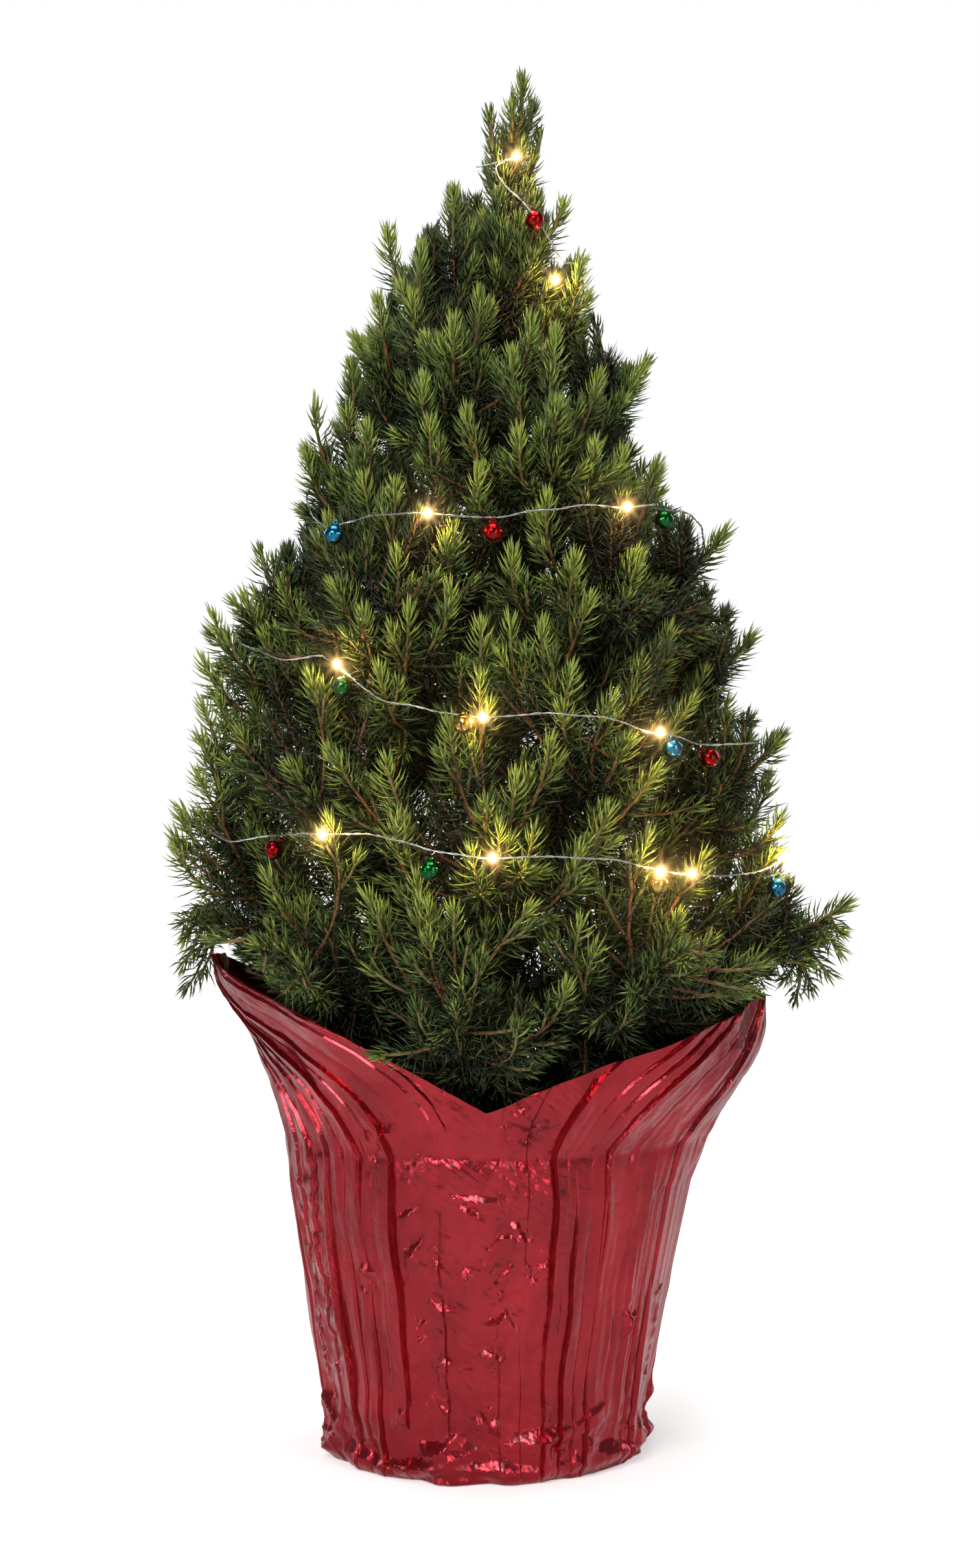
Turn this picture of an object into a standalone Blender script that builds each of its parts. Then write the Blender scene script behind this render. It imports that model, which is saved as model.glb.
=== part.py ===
"""A young dwarf white spruce in a nursery pot, dressed in a pleated foil sleeve.

Metres, +Z up. The origin is the middle of the sleeve's flat underside, and the
front of the plant faces -Y. Azimuths run from +X towards +Y, so the front is -90.
"""

import math

import bmesh
import bpy
from mathutils import Quaternion, Vector
from mathutils.bvhtree import BVHTree

# Driving sizes of the pot, its soil and the foil sleeve
GAP = 0.0003
FILM = 0.0010
POT_FOOT_R = 0.0632
POT_RIM_R = 0.0826
POT_RIM_Z = 0.1330
POT_WALL = 0.0016
POT_RIM_BAND = 0.0120
POT_RIM_STEP = 0.0018
POT_ROUND = 0.0010
POT_SIDES = 28
SOIL_Z = 0.1200
SOIL_DOME = 0.0025
SOIL_TOP_R = 0.0160

CUP_FOOT_CLEAR = 0.0008
CUP_RIM_CLEAR = 0.0005
SLEEVE_RIM_Z = 0.1360
SLEEVE_BAND_Z = 0.1190
SLEEVE_FLARE = 0.0500
SLEEVE_FOOT_Z = 0.0050
SLEEVE_FOOT_BULGE = 0.0012
PLEATS = 24
PLEAT_STEPS = ((0.0, 0.0), (0.48, 0.45), (0.93, 1.0))
PLEAT_DEPTH = 0.0020
SKIRT_ROWS = (0.35, 0.70, 1.0)
NOTCH_Z = {"front": 0.1540, "back": 0.1500}
NOTCH_REACH = 0.0030
POINT_REACH = 0.0315
POINT_Z = {"left": 0.2130, "right": 0.1965}
EDGE_FALL = {"front": 1.05, "back": 1.35}
FLARE_CURVE = {"left": 1.8, "right": 0.6}

# Driving sizes of the tree
TRUNK_FOOT_R = 0.0074
TRUNK_TOP_R = 0.0014
TRUNK_TOP_Z = 0.5250
TRUNK_LEAN = 0.0125
TRUNK_SWAY = 0.0030
ROOT_FLARE = 0.0042
ROOT_FLARE_FADE = 0.0080
TRUNK_FOOT_RINGS = (0.0, 0.0040, 0.0100, 0.0200)
TRUNK_STEPS = 12
TRUNK_SIDES = 10
TRUNK_CLEAR = 0.0012
LEADER_TIP = Vector((0.0155, 0.0, 0.5950))

CROWN_TOP_Z = 0.6350
CROWN_DEPTH = 0.4500
CROWN_FOOT_R = 0.1400
CROWN_SWELL = 0.0120
CROWN_PLACES = 60
REACH_SCATTER = 0.07
LOWEST_LIMB_Z = 0.1480
ROOT_SCATTER = 0.0100
LIMB_RISE = 0.0560
LIMB_RISE_PER_REACH = 0.36
LEAST_RISE = 0.0400
BEND_OUT = 0.60
BEND_UP = 0.42
LIMB_OVER_EDGE = 0.0150
LIMB_OFF_WALL = 0.0100
LIMB_SPACING = 0.0480
LIMB_SPREAD = 0.0220
LONG_REACH = 0.1100
CLEAR_STEP = 0.0030
GOLDEN_ANGLE = math.radians(137.508)

# The limbs that give the crown its outline: azimuth in degrees, reach and tip height
SPIRES = {
    "back_high": (140, 0.0200, 0.5480),
    "left_high": (183, 0.0440, 0.5330),
    "front_high": (-75, 0.0250, 0.5280),
    "right_high": (4, 0.0420, 0.5180),
    "left_upper": (176, 0.0600, 0.4850),
    "right_upper": (-6, 0.0720, 0.4730),
    "left_rising": (190, 0.0810, 0.4340),
    "right_rising": (12, 0.0800, 0.4280),
    "right_middle": (-8, 0.1070, 0.3990),
    "left_middle": (180, 0.1130, 0.3700),
    "right_broad": (8, 0.1215, 0.3560),
    "right_wide": (-8, 0.1310, 0.3110),
    "left_wide": (186, 0.1350, 0.2800),
    "right_low": (3, 0.1630, 0.2370),
    "left_low": (172, 0.1300, 0.2360),
    "front_low": (-96, 0.1210, 0.2020),
    "front_low_right": (-52, 0.1330, 0.2230),
    "front_low_left": (-138, 0.1300, 0.2180),
    "back_low": (86, 0.1230, 0.2060),
    "back_low_right": (44, 0.1320, 0.2260),
    "back_low_left": (131, 0.1290, 0.2130),
}

BOUGH_R = 0.0031
BOUGH_TIP_R = 0.0019
BOUGH_SHARE = 0.42
BOUGH_SIDES = 5
BOUGH_STEPS = 4
STEM_R = 0.0017
STEM_TIP_R = 0.0009
STEM_SIDES = 4
FINE_STEP = 0.0005

# Sprays of needles, larger than life so that few of them clothe the crown
NEEDLE = 0.0125
NEEDLE_CLEAR = 0.0020
NEEDLE_LEAN = (0.60, 1.20)
SPRAY_SIDES = 4
SPRAY_CORE_R = 0.0030
SPRAY_LENGTH = 0.0700
SPRAY_ROWS = (0.0, 0.46, 0.63, 0.80, 1.0)
SHORTER = (1.0, 0.88, 0.76, 0.64)
LEAD_LENGTH = 0.0434
SIDE_SPRAYS = 4
FIRST_SPRAY = 0.22
SPRAY_STEP = 0.12
FIRST_TURN = math.radians(102)
SPRAY_TURN = math.radians(-85)
# Sprays of the leader: where they begin along it, azimuth in degrees and length
LEADER_SPRAYS = ((0.08, 192, 0.048), (0.22, -12, 0.044), (0.15, 80, 0.046), (0.30, -100, 0.040))
LEADER_CORE_R = 0.0126
CORE_R = 0.0280
CORE_STATIONS = (0.0, 0.04, 0.22, 0.45, 0.66, 0.82, 1.0)
CORE_SHAPE = (0.65, 1.0, 0.80)
CORE_LEAST_R = 0.0020
CORE_FILL = 0.80
CORE_SIDES = 6
TUFT = 0.0090
TUFT_LEAN = 0.80
SPACE_MARGIN = 0.0009
SOIL_CLEAR = 0.0040
TIP_MARGIN = 0.0040
EDGE_MARGIN = 0.0090
WALL_MARGIN = 0.0060

COLOURS = {
    "needles": ((0.060, 0.145, 0.035), 0.55, 0.0),
    "bark": ((0.190, 0.095, 0.045), 0.85, 0.0),
    "foil": ((0.520, 0.020, 0.055), 0.33, 0.75),
    "pot": ((0.018, 0.018, 0.020), 0.60, 0.0),
    "soil": ((0.050, 0.032, 0.022), 0.95, 0.0),
}


def clear_scene():
    for old in list(bpy.data.objects):
        bpy.data.objects.remove(old)


def material(name):
    """The Principled material of that name, made once."""
    if name in bpy.data.materials:
        return bpy.data.materials[name]
    colour, roughness, metallic = COLOURS[name]
    made = bpy.data.materials.new(name)
    made.use_nodes = True
    shader = made.node_tree.nodes["Principled BSDF"]
    shader.inputs["Base Color"].default_value = (*colour, 1.0)
    shader.inputs["Roughness"].default_value = roughness
    shader.inputs["Metallic"].default_value = metallic
    return made


def new_object(name, points, faces, finish, collection=None):
    mesh = bpy.data.meshes.new(name)
    mesh.from_pydata([tuple(p) for p in points], [], faces)
    mesh.materials.append(material(finish))
    made = bpy.data.objects.new(name, mesh)
    (collection or bpy.context.scene.collection).objects.link(made)
    return made


def surface_of(obj):
    return BVHTree.FromPolygons([v.co for v in obj.data.vertices], [p.vertices for p in obj.data.polygons])


def height_over(surface, point):
    """The distance from a surface to a point, negative where the point is inside it."""
    nearest, normal, face, far = surface.find_nearest(point)
    return far if (point - nearest).dot(normal) > 0 else -far


def smooth(obj, angle=35):
    obj.data.shade_smooth()
    obj.data.set_sharp_from_angle(angle=math.radians(angle))


# Rings and tubes

def loft_faces(rings, sides):
    """Quads between rings of as many points each, counted anticlockwise from their end."""
    return [(i * sides + j, i * sides + (j + 1) % sides,
             (i + 1) * sides + (j + 1) % sides, (i + 1) * sides + j)
            for i in range(rings - 1) for j in range(sides)]


def frames_along(path):
    """The direction and a sideways vector at each point of a path, turned as little as possible."""
    ways = []
    for i in range(len(path)):
        ahead = path[min(i + 1, len(path) - 1)]
        ways.append((ahead - path[max(i - 1, 0)]).normalized())
    side = ways[0].cross(Vector((0.13, 0.27, 0.95)))
    if side.length < 0.05:
        side = ways[0].cross(Vector((1, 0, 0)))
    frames = []
    for way in ways:
        side = (side - way * side.dot(way)).normalized()
        frames.append((way, side.copy()))
    return frames


def ring(centre, way, side, radius, sides, turn=0.0):
    """A circle of points round centre, anticlockwise seen from the end that way points to."""
    up = way.cross(side)
    return [centre + radius * (math.cos(a) * side + math.sin(a) * up)
            for a in (turn + 2 * math.pi * j / sides for j in range(sides))]


def tube(name, path, radii, sides, finish, collection=None):
    """A closed tapering tube along path, with flat ends."""
    points = []
    for centre, radius, (way, side) in zip(path, radii, frames_along(path)):
        points += ring(centre, way, side, radius, sides)
    faces = loft_faces(len(path), sides)
    last = len(points) - sides
    faces.append(tuple(range(sides - 1, -1, -1)))
    faces.append(tuple(range(last, last + sides)))
    return new_object(name, points, faces, finish, collection)


# The pot and its soil

def turned(name, profile, sides, finish):
    """A solid of revolution from a profile of (radius, height) that starts and ends on the axis."""
    points = [Vector((0, 0, profile[0][1]))]
    for radius, height in profile[1:-1]:
        points += [Vector((radius * math.cos(a), radius * math.sin(a), height))
                   for a in (2 * math.pi * j / sides for j in range(sides))]
    points.append(Vector((0, 0, profile[-1][1])))
    rings = len(profile) - 2
    faces = [tuple(1 + k for k in quad) for quad in loft_faces(rings, sides)]
    last = 1 + (rings - 1) * sides
    for j in range(sides):
        k = (j + 1) % sides
        faces.append((0, 1 + k, 1 + j))
        faces.append((len(points) - 1, last + j, last + k))
    smooth(new_object(name, points, faces, finish))


def pot_radius(z):
    """The outside of the pot's wall at height z, under its rim band."""
    return POT_FOOT_R + (POT_RIM_R - POT_RIM_STEP - POT_FOOT_R) * z / POT_RIM_Z


def make_pot():
    floor = FILM + GAP
    band = POT_RIM_Z - POT_RIM_BAND
    inside_top = POT_RIM_R - POT_RIM_STEP - POT_WALL
    turned("pot", [
        (0, floor), (POT_FOOT_R, floor), (pot_radius(band), band), (POT_RIM_R, band + POT_ROUND),
        (POT_RIM_R, POT_RIM_Z - POT_ROUND), (POT_RIM_R - POT_ROUND, POT_RIM_Z), (inside_top, POT_RIM_Z),
        (POT_FOOT_R - POT_WALL, floor + 2 * POT_WALL), (0, floor + 2 * POT_WALL),
    ], POT_SIDES, "pot")


def inside_of_pot(z):
    """The inner radius of the pot at height z, less a running gap for the soil."""
    low = FILM + GAP + 2 * POT_WALL
    share = (z - low) / (POT_RIM_Z - low)
    foot = POT_FOOT_R - POT_WALL
    top = POT_RIM_R - POT_RIM_STEP - POT_WALL
    return foot + (top - foot) * share - GAP


def make_soil():
    low = FILM + 2 * GAP + 2 * POT_WALL
    edge = SOIL_Z - SOIL_DOME
    turned("soil", [
        (0, low), (inside_of_pot(low), low), (inside_of_pot(edge), edge),
        (0.72 * inside_of_pot(edge), edge + 0.6 * SOIL_DOME), (SOIL_TOP_R, SOIL_Z), (0, SOIL_Z),
    ], POT_SIDES, "soil")


# The foil sleeve: a cup that fits the pot, and a skirt that rises to a point on each side

def sleeve_cup_radius(z):
    """The inside of the cup, which clears the pot's foot and its rim band."""
    low = POT_FOOT_R + CUP_FOOT_CLEAR
    high = POT_RIM_R + CUP_RIM_CLEAR
    above = max(0.0, min(z, SLEEVE_RIM_Z) - SLEEVE_BAND_Z)
    return low + (high - low) * min(1.0, z / SLEEVE_BAND_Z) + SLEEVE_FLARE * above


def sleeve_edge(azimuth):
    """The radius and height of the sleeve's cut edge at an azimuth in radians."""
    side = "left" if math.cos(azimuth) < 0 else "right"
    face = "front" if math.sin(azimuth) < 0 else "back"
    swing = abs(math.cos(azimuth)) ** EDGE_FALL[face]
    height = NOTCH_Z[face] + (POINT_Z[side] - NOTCH_Z[face]) * swing
    reach = sleeve_cup_radius(SLEEVE_RIM_Z) + NOTCH_REACH + POINT_REACH * swing
    return reach, height


def sleeve_radius(azimuth, z):
    """The inside of the sleeve at an azimuth and a height, up to its edge."""
    if z <= SLEEVE_RIM_Z:
        return sleeve_cup_radius(z)
    reach, top = sleeve_edge(azimuth)
    share = min((z - SLEEVE_RIM_Z) / (top - SLEEVE_RIM_Z), 1.0)
    rim = sleeve_cup_radius(SLEEVE_RIM_Z)
    to_right = (1 + math.cos(azimuth)) / 2
    curve = FLARE_CURVE["left"] + (FLARE_CURVE["right"] - FLARE_CURVE["left"]) * to_right
    return rim + (reach - rim) * share ** curve


def make_sleeve():
    """Pleats are drawn on the outside as steps that rise slowly and drop at a folded edge."""
    columns = [(2 * math.pi * (k + share) / PLEATS, fold)
               for k in range(PLEATS) for share, fold in PLEAT_STEPS]
    outer = [(azimuth, sleeve_cup_radius(0) + FILM, 0.0) for azimuth, fold in columns]
    inner = [(azimuth, sleeve_cup_radius(0), FILM) for azimuth, fold in columns]
    for azimuth, fold in columns:
        folded = FILM + SLEEVE_FOOT_BULGE + PLEAT_DEPTH * fold
        outer.append((azimuth, sleeve_cup_radius(SLEEVE_FOOT_Z) + folded, SLEEVE_FOOT_Z))
    for z in (SLEEVE_BAND_Z, SLEEVE_RIM_Z):
        for azimuth, fold in columns:
            inner.append((azimuth, sleeve_cup_radius(z), z))
            outer.append((azimuth, sleeve_cup_radius(z) + FILM + PLEAT_DEPTH * fold, z))
    for share in SKIRT_ROWS:
        for azimuth, fold in columns:
            top = sleeve_edge(azimuth)[1]
            z = SLEEVE_RIM_Z + (top - SLEEVE_RIM_Z) * share
            inside = sleeve_radius(azimuth, z)
            inner.append((azimuth, inside, z))
            outer.append((azimuth, inside + FILM + PLEAT_DEPTH * fold * (1 + share), z))
    count, shift = len(columns), len(outer)
    points = [Vector((r * math.cos(a), r * math.sin(a), z)) for a, r, z in outer + inner]
    points += [Vector((0, 0, 0)), Vector((0, 0, FILM))]
    faces = loft_faces(len(outer) // count, count)
    faces += [tuple(shift + k for k in reversed(quad)) for quad in loft_faces(len(inner) // count, count)]
    foot, floor = len(points) - 2, len(points) - 1
    outer_edge, inner_edge = len(outer) - count, shift + len(inner) - count
    for j in range(count):
        k = (j + 1) % count
        faces.append((outer_edge + j, outer_edge + k, inner_edge + k, inner_edge + j))
        faces.append((foot, k, j))
        faces.append((floor, shift + j, shift + k))
    made = new_object("foil_sleeve", points, faces, "foil")
    smooth(made, 22)


# The trunk and its limbs

def trunk_centre(z):
    share = max(0.0, (z - SOIL_Z) / (TRUNK_TOP_Z - SOIL_Z))
    return Vector((TRUNK_LEAN * share ** 1.6, TRUNK_SWAY * math.sin(math.pi * share), z))


def trunk_radius(z):
    share = min(1.0, max(0.0, (z - SOIL_Z) / (TRUNK_TOP_Z - SOIL_Z)))
    taper = TRUNK_TOP_R + (TRUNK_FOOT_R - TRUNK_TOP_R) * (1 - share) ** 0.9
    return taper + ROOT_FLARE * math.exp(-(z - SOIL_Z) / ROOT_FLARE_FADE)


def make_trunk():
    """A flat cut on the soil, a root flare, and a long taper to the leader."""
    heights = [SOIL_Z + GAP + step for step in TRUNK_FOOT_RINGS]
    rest = TRUNK_TOP_Z - heights[-1]
    heights += [heights[-1] + rest * k / TRUNK_STEPS for k in range(1, TRUNK_STEPS + 1)]
    path = [trunk_centre(z) for z in heights]
    path[0].xy = path[1].xy
    trunk = tube("trunk", path, [trunk_radius(z) for z in heights], TRUNK_SIDES, "bark")
    smooth(trunk)
    return trunk


def crown_radius(z):
    """How far the tips reach at height z: a cone that swells a little in the middle."""
    share = (CROWN_TOP_Z - z) / CROWN_DEPTH
    return CROWN_FOOT_R * share + CROWN_SWELL * math.sin(math.pi * min(share, 1.0))


class Limb:
    """The centreline of one limb, from the trunk's axis out and up to its furthest tip."""

    def __init__(self, name, azimuth, reach, tip_z):
        self.name, self.azimuth, self.reach = name, azimuth, reach
        self.out = Vector((math.cos(azimuth), math.sin(azimuth), 0))
        self.long = reach > LONG_REACH
        low = LOWEST_LIMB_Z + ROOT_SCATTER * (1 + math.sin(5 * azimuth))
        self.aim(max(tip_z - LIMB_RISE - LIMB_RISE_PER_REACH * reach, low), tip_z)
        while not self.clears_sleeve():
            lifted = self.root.z + CLEAR_STEP
            self.aim(lifted, max(self.tip.z, lifted + LEAST_RISE))

    def aim(self, root_z, tip_z):
        self.root = trunk_centre(root_z)
        self.tip = self.out * self.reach + Vector((0, 0, tip_z))
        self.bend = self.root.lerp(self.tip, BEND_OUT)
        self.bend.z = root_z + BEND_UP * (tip_z - root_z)

    def at(self, t):
        return (1 - t) ** 2 * self.root + 2 * t * (1 - t) * self.bend + t * t * self.tip

    def way(self, t):
        return ((1 - t) * (self.bend - self.root) + t * (self.tip - self.bend)).normalized()

    def clears_sleeve(self):
        """Whether the limb passes well over the sleeve's edge, or stays inside it."""
        for point in (self.at(k / 12) for k in range(13)):
            azimuth = math.atan2(point.y, point.x)
            edge = sleeve_edge(azimuth)[1]
            wall = sleeve_radius(azimuth, min(point.z, edge))
            if point.z < edge + LIMB_OVER_EDGE and point.xy.length > wall - LIMB_OFF_WALL:
                return False
        return True


def side_name(azimuth):
    turn = math.degrees(azimuth) % 360
    return ("right", "back", "left", "front")[int((turn + 45) % 360 // 90)]


def plan_limbs():
    """The named spires, then limbs set round the cone by the golden angle wherever there is room."""
    limbs = [Limb(name, math.radians(azimuth), reach, tip_z)
             for name, (azimuth, reach, tip_z) in SPIRES.items()]
    taken = {}
    for step in range(1, CROWN_PLACES):
        share = math.sqrt((step + 0.5) / CROWN_PLACES)
        azimuth = step * GOLDEN_ANGLE
        tip_z = CROWN_TOP_Z - CROWN_DEPTH * share
        reach = crown_radius(tip_z) * (1 + REACH_SCATTER * math.sin(7 * step))
        side = side_name(azimuth)
        count = taken.get(side, 0) + 1
        limb = Limb(f"{side}_{count}", azimuth, reach, tip_z)
        if min((limb.tip - other.tip).length for other in limbs) < LIMB_SPACING + LIMB_SPREAD * share:
            continue
        taken[side] = count
        limbs.append(limb)
    return limbs


# The room that each mass of foliage keeps to

class Space:
    """The points nearer to one limb than to any other, clear of trunk, boughs and sleeve."""

    def __init__(self, own, axes, boughs):
        self.own, self.axes, self.boughs = own, axes, boughs
        self.reach = max(point.xy.length for point in axes[own]) + TIP_MARGIN

    def holds(self, point):
        if point.z < SOIL_Z + SOIL_CLEAR or point.xy.length > self.reach:
            return False
        level = min(point.z, TRUNK_TOP_Z)
        if (point - trunk_centre(level)).length < trunk_radius(level) + TRUNK_CLEAR:
            return False
        azimuth = math.atan2(point.y, point.x)
        edge = sleeve_edge(azimuth)[1]
        wall = sleeve_radius(azimuth, min(point.z, edge))
        if point.z < edge + EDGE_MARGIN and point.xy.length > wall - WALL_MARGIN:
            return False
        if any(distance_to(path, point) < BOUGH_R + SPACE_MARGIN for path in self.boughs):
            return False
        own = distance_to(self.axes[self.own], point)
        return all(own + SPACE_MARGIN < distance_to(path, point)
                   for name, path in self.axes.items() if name != self.own)

    def room(self, start, way, most):
        """How far a point can go from start along way, up to most, without leaving the space."""
        step = most / 10
        far = 0.0
        while far + step <= most and self.holds(start + way * (far + step)):
            far += step
        return far


def distance_to(path, point):
    """The distance from a point to a polyline."""
    best = 1.0
    for a, b in zip(path, path[1:]):
        along = b - a
        share = min(1.0, max(0.0, (point - a).dot(along) / along.length_squared))
        best = min(best, (point - a - along * share).length)
    return best


# Foliage

def curved(start, first, last, length):
    """Points on a path of that length whose direction turns from first to last."""
    return [start + length * (s * first + 0.5 * s * s * (last - first)) for s in SPRAY_ROWS]


def triangles(faces):
    """Every face split into triangles from its first corner, so that each is flat."""
    return [(face[0], face[k], face[k + 1]) for face in faces for k in range(1, len(face) - 1)]


def spray(name, path, others, shade, collection, space):
    """A slim core along path whose facets past the first band are drawn out into needles.

    A needle that would leave the space, or end in the shade or near one of the others, is left out.
    """
    sides, rows, points, faces = SPRAY_SIDES, len(path) - 1, [], []
    frames = frames_along(path)
    for i, (centre, (way, side)) in enumerate(zip(path[:-1], frames)):
        points += ring(centre, way, side, SPRAY_CORE_R if i else STEM_TIP_R, sides, turn=math.pi * i / sides)
    for quad in loft_faces(rows, sides):
        i = quad[0] // sides
        middle = sum((points[k] for k in quad), Vector()) / 4
        way = frames[i][0]
        axis = (path[i] + path[i + 1]) / 2
        out = (middle - axis).normalized()
        lean = NEEDLE_LEAN[0] + (NEEDLE_LEAN[1] - NEEDLE_LEAN[0]) * i / (rows - 1)
        needle = middle + NEEDLE * (out + lean * way).normalized()
        crowded = min(distance_to(other, needle) for other in others) < distance_to(path, needle)
        shaded = height_over(shade, needle) < NEEDLE_CLEAR
        if i == 0 or crowded or shaded or not space.holds(needle):
            faces.append(quad)
            continue
        points.append(needle)
        faces += [(quad[k], quad[(k + 1) % 4], len(points) - 1) for k in range(4)]
    points += [path[0] - frames[0][0] * STEM_TIP_R, path[-1]]
    for j in range(sides):
        k = (j + 1) % sides
        faces.append((len(points) - 2, k, j))
        faces.append((len(points) - 1, (rows - 1) * sides + j, (rows - 1) * sides + k))
    return new_object(name, points, triangles(faces), "needles", collection)


def dense_core(path, collection, space, most):
    """The shaded inside of a mass, wide where its space is wide, with low tufts on its sides."""
    sides, points = CORE_SIDES, []
    frames = frames_along(path)
    for i, share in enumerate(CORE_SHAPE, start=1):
        way, side = frames[i]
        for corner in ring(Vector(), way, side, 1.0, sides, turn=i * math.pi / sides):
            far = space.room(path[i], corner, most * share / CORE_FILL)
            points.append(path[i] + corner * max(CORE_FILL * far, CORE_LEAST_R))
    rings, faces = len(CORE_SHAPE), []
    for quad in loft_faces(rings, sides):
        middle = sum((points[k] for k in quad), Vector()) / 4
        axis = (path[1 + quad[0] // sides] + path[2 + quad[0] // sides]) / 2
        way = (path[-1] - path[0]).normalized()
        tuft = middle + TUFT * ((middle - axis).normalized() + TUFT_LEAN * way).normalized()
        if not space.holds(tuft):
            faces.append(quad)
            continue
        points.append(tuft)
        faces += [(quad[k], quad[(k + 1) % 4], len(points) - 1) for k in range(4)]
    points += [path[0], path[-1]]
    for j in range(sides):
        k = (j + 1) % sides
        faces.append((len(points) - 2, k, j))
        faces.append((len(points) - 1, (rings - 1) * sides + j, (rings - 1) * sides + k))
    return new_object("dense_core", points, triangles(faces), "needles", collection)


def keep_outer_shell(mesh):
    """Drops every shell but the largest, which fills sealed hollows and sheds loose scrap."""
    shape = bmesh.new()
    shape.from_mesh(mesh)
    bmesh.ops.triangulate(shape, faces=shape.faces, ngon_method="EAR_CLIP")
    unseen = set(shape.faces)
    shells = []
    while unseen:
        front = [unseen.pop()]
        shell = list(front)
        while front:
            near = {other for edge in front.pop().edges for other in edge.link_faces if other in unseen}
            unseen -= near
            front += near
            shell += near
        shells.append(shell)
    shells.sort(key=lambda shell: sum(face.calc_area() for face in shell))
    scrap = [face for shell in shells[:-1] for face in shell]
    bmesh.ops.delete(shape, geom=scrap, context="FACES")
    shape.to_mesh(mesh)
    shape.free()


def fuse(name, stem, collection):
    """One Boolean union of the stem with everything in the collection, applied."""
    union = stem.modifiers.new("union", "BOOLEAN")
    union.operation = "UNION"
    union.solver = "MANIFOLD"
    union.operand_type = "COLLECTION"
    union.collection = collection
    graph = bpy.context.evaluated_depsgraph_get()
    mesh = bpy.data.meshes.new_from_object(stem.evaluated_get(graph))
    stem.modifiers.clear()
    keep_outer_shell(mesh)
    stem.data = mesh
    stem.name = mesh.name = name
    for piece in list(collection.objects):
        bpy.data.objects.remove(piece)
    bpy.data.collections.remove(collection)


def make_mass(name, path, side_sprays, lead_length, core_r, space):
    """A stem, a dense core round it, a leading spray and sprays on all sides of it, fused."""
    parts = bpy.data.collections.new(name + "_parts")
    bpy.context.scene.collection.children.link(parts)
    stem = tube(name + "_stem", path[:3], (STEM_R, STEM_R, STEM_TIP_R), STEM_SIDES, "needles")
    shade = surface_of(dense_core(path[1:-1], parts, space, core_r))
    tip = path[-1]
    way = (tip - path[-2]).normalized()
    upward = (way + Vector((0, 0, 0.5))).normalized()
    lead = curved(tip - way * lead_length, way, upward, lead_length)
    paths = [[point + (tip - lead[-1]) for point in lead]]
    for start, first, last, length in side_sprays:
        for shorter in SHORTER:
            path = curved(start, first, last, length * shorter)
            if all(space.holds(point) for point in path[1:]):
                paths.append(path)
                break
    for path in paths:
        spray("spray", path, [other for other in paths if other is not path], shade, parts, space)
    fuse(name, stem, parts)


def limb_sprays(limb, start):
    """Where a limb's side sprays begin, the ways that they set out and end, and their lengths."""
    found = []
    for k in range(SIDE_SPRAYS):
        t = start + (1 - start) * (FIRST_SPRAY + k * SPRAY_STEP)
        way = limb.way(t)
        outer = (limb.out - way * limb.out.dot(way)).normalized()
        beside = Quaternion(way, FIRST_TURN + k * SPRAY_TURN) @ outer
        first = (0.80 * way + 0.60 * beside).normalized()
        last = (0.7 * first + Vector((0, 0, 0.6))).normalized()
        size = SPRAY_LENGTH * (0.66 + 0.34 * min(1.0, limb.reach / CROWN_FOOT_R))
        found.append((limb.at(t), first, last, size))
    return found


def bough_path(limb, start):
    end = start + BOUGH_SHARE * (1 - start)
    return [limb.at(start + (end - start) * k / BOUGH_STEPS) for k in range(BOUGH_STEPS + 1)]


def stem_path(limb, start):
    return [limb.at(start + (1 - start) * share) for share in CORE_STATIONS]


def leaves_trunk(limb, trunk):
    """Where along its centreline the limb's blunt end just clears the trunk's surface."""
    start = 0.0
    while True:
        path = bough_path(limb, start) if limb.long else stem_path(limb, start)[:3]
        way, side = frames_along(path)[0]
        radius, sides = (BOUGH_R, BOUGH_SIDES) if limb.long else (STEM_R, STEM_SIDES)
        corners = ring(path[0], way, side, radius, sides)
        edge = [a.lerp(b, k / 4) for a, b in zip(corners, corners[1:] + corners[:1]) for k in range(4)]
        if all(height_over(trunk, point) >= GAP for point in edge):
            return start
        start += FINE_STEP


def make_limb(limb, space, trunk):
    """A long limb is a bough and the mass at its end, and a short one is a mass on the trunk itself."""
    start = leaves_trunk(limb, trunk)
    if limb.long:
        path = bough_path(limb, start)
        radii = [BOUGH_R + (BOUGH_TIP_R - BOUGH_R) * k / BOUGH_STEPS for k in range(BOUGH_STEPS + 1)]
        smooth(tube("bough_" + limb.name, path, radii, BOUGH_SIDES, "bark"))
        start += BOUGH_SHARE * (1 - start)
        while (limb.at(start) - path[-1]).length < GAP:
            start += FINE_STEP
    lead_length = LEAD_LENGTH + 0.12 * limb.reach
    sprays = limb_sprays(limb, start)
    make_mass("foliage_" + limb.name, stem_path(limb, start), sprays, lead_length, CORE_R, space)


def make_leader(space):
    """The mass on the trunk's own tip, which makes the top of the tree."""
    foot = trunk_centre(TRUNK_TOP_Z) + Vector((0, 0, GAP))
    path = [foot.lerp(LEADER_TIP, share) for share in CORE_STATIONS]
    sprays = []
    for share, azimuth, length in LEADER_SPRAYS:
        turn = math.radians(azimuth)
        out = Vector((math.cos(turn), math.sin(turn), 0))
        first = (out + Vector((0, 0, 1.0))).normalized()
        last = (0.35 * out + Vector((0, 0, 1))).normalized()
        sprays.append((foot.lerp(LEADER_TIP, share), first, last, length))
    make_mass("foliage_leader", path, sprays, LEAD_LENGTH, LEADER_CORE_R, space)


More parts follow.
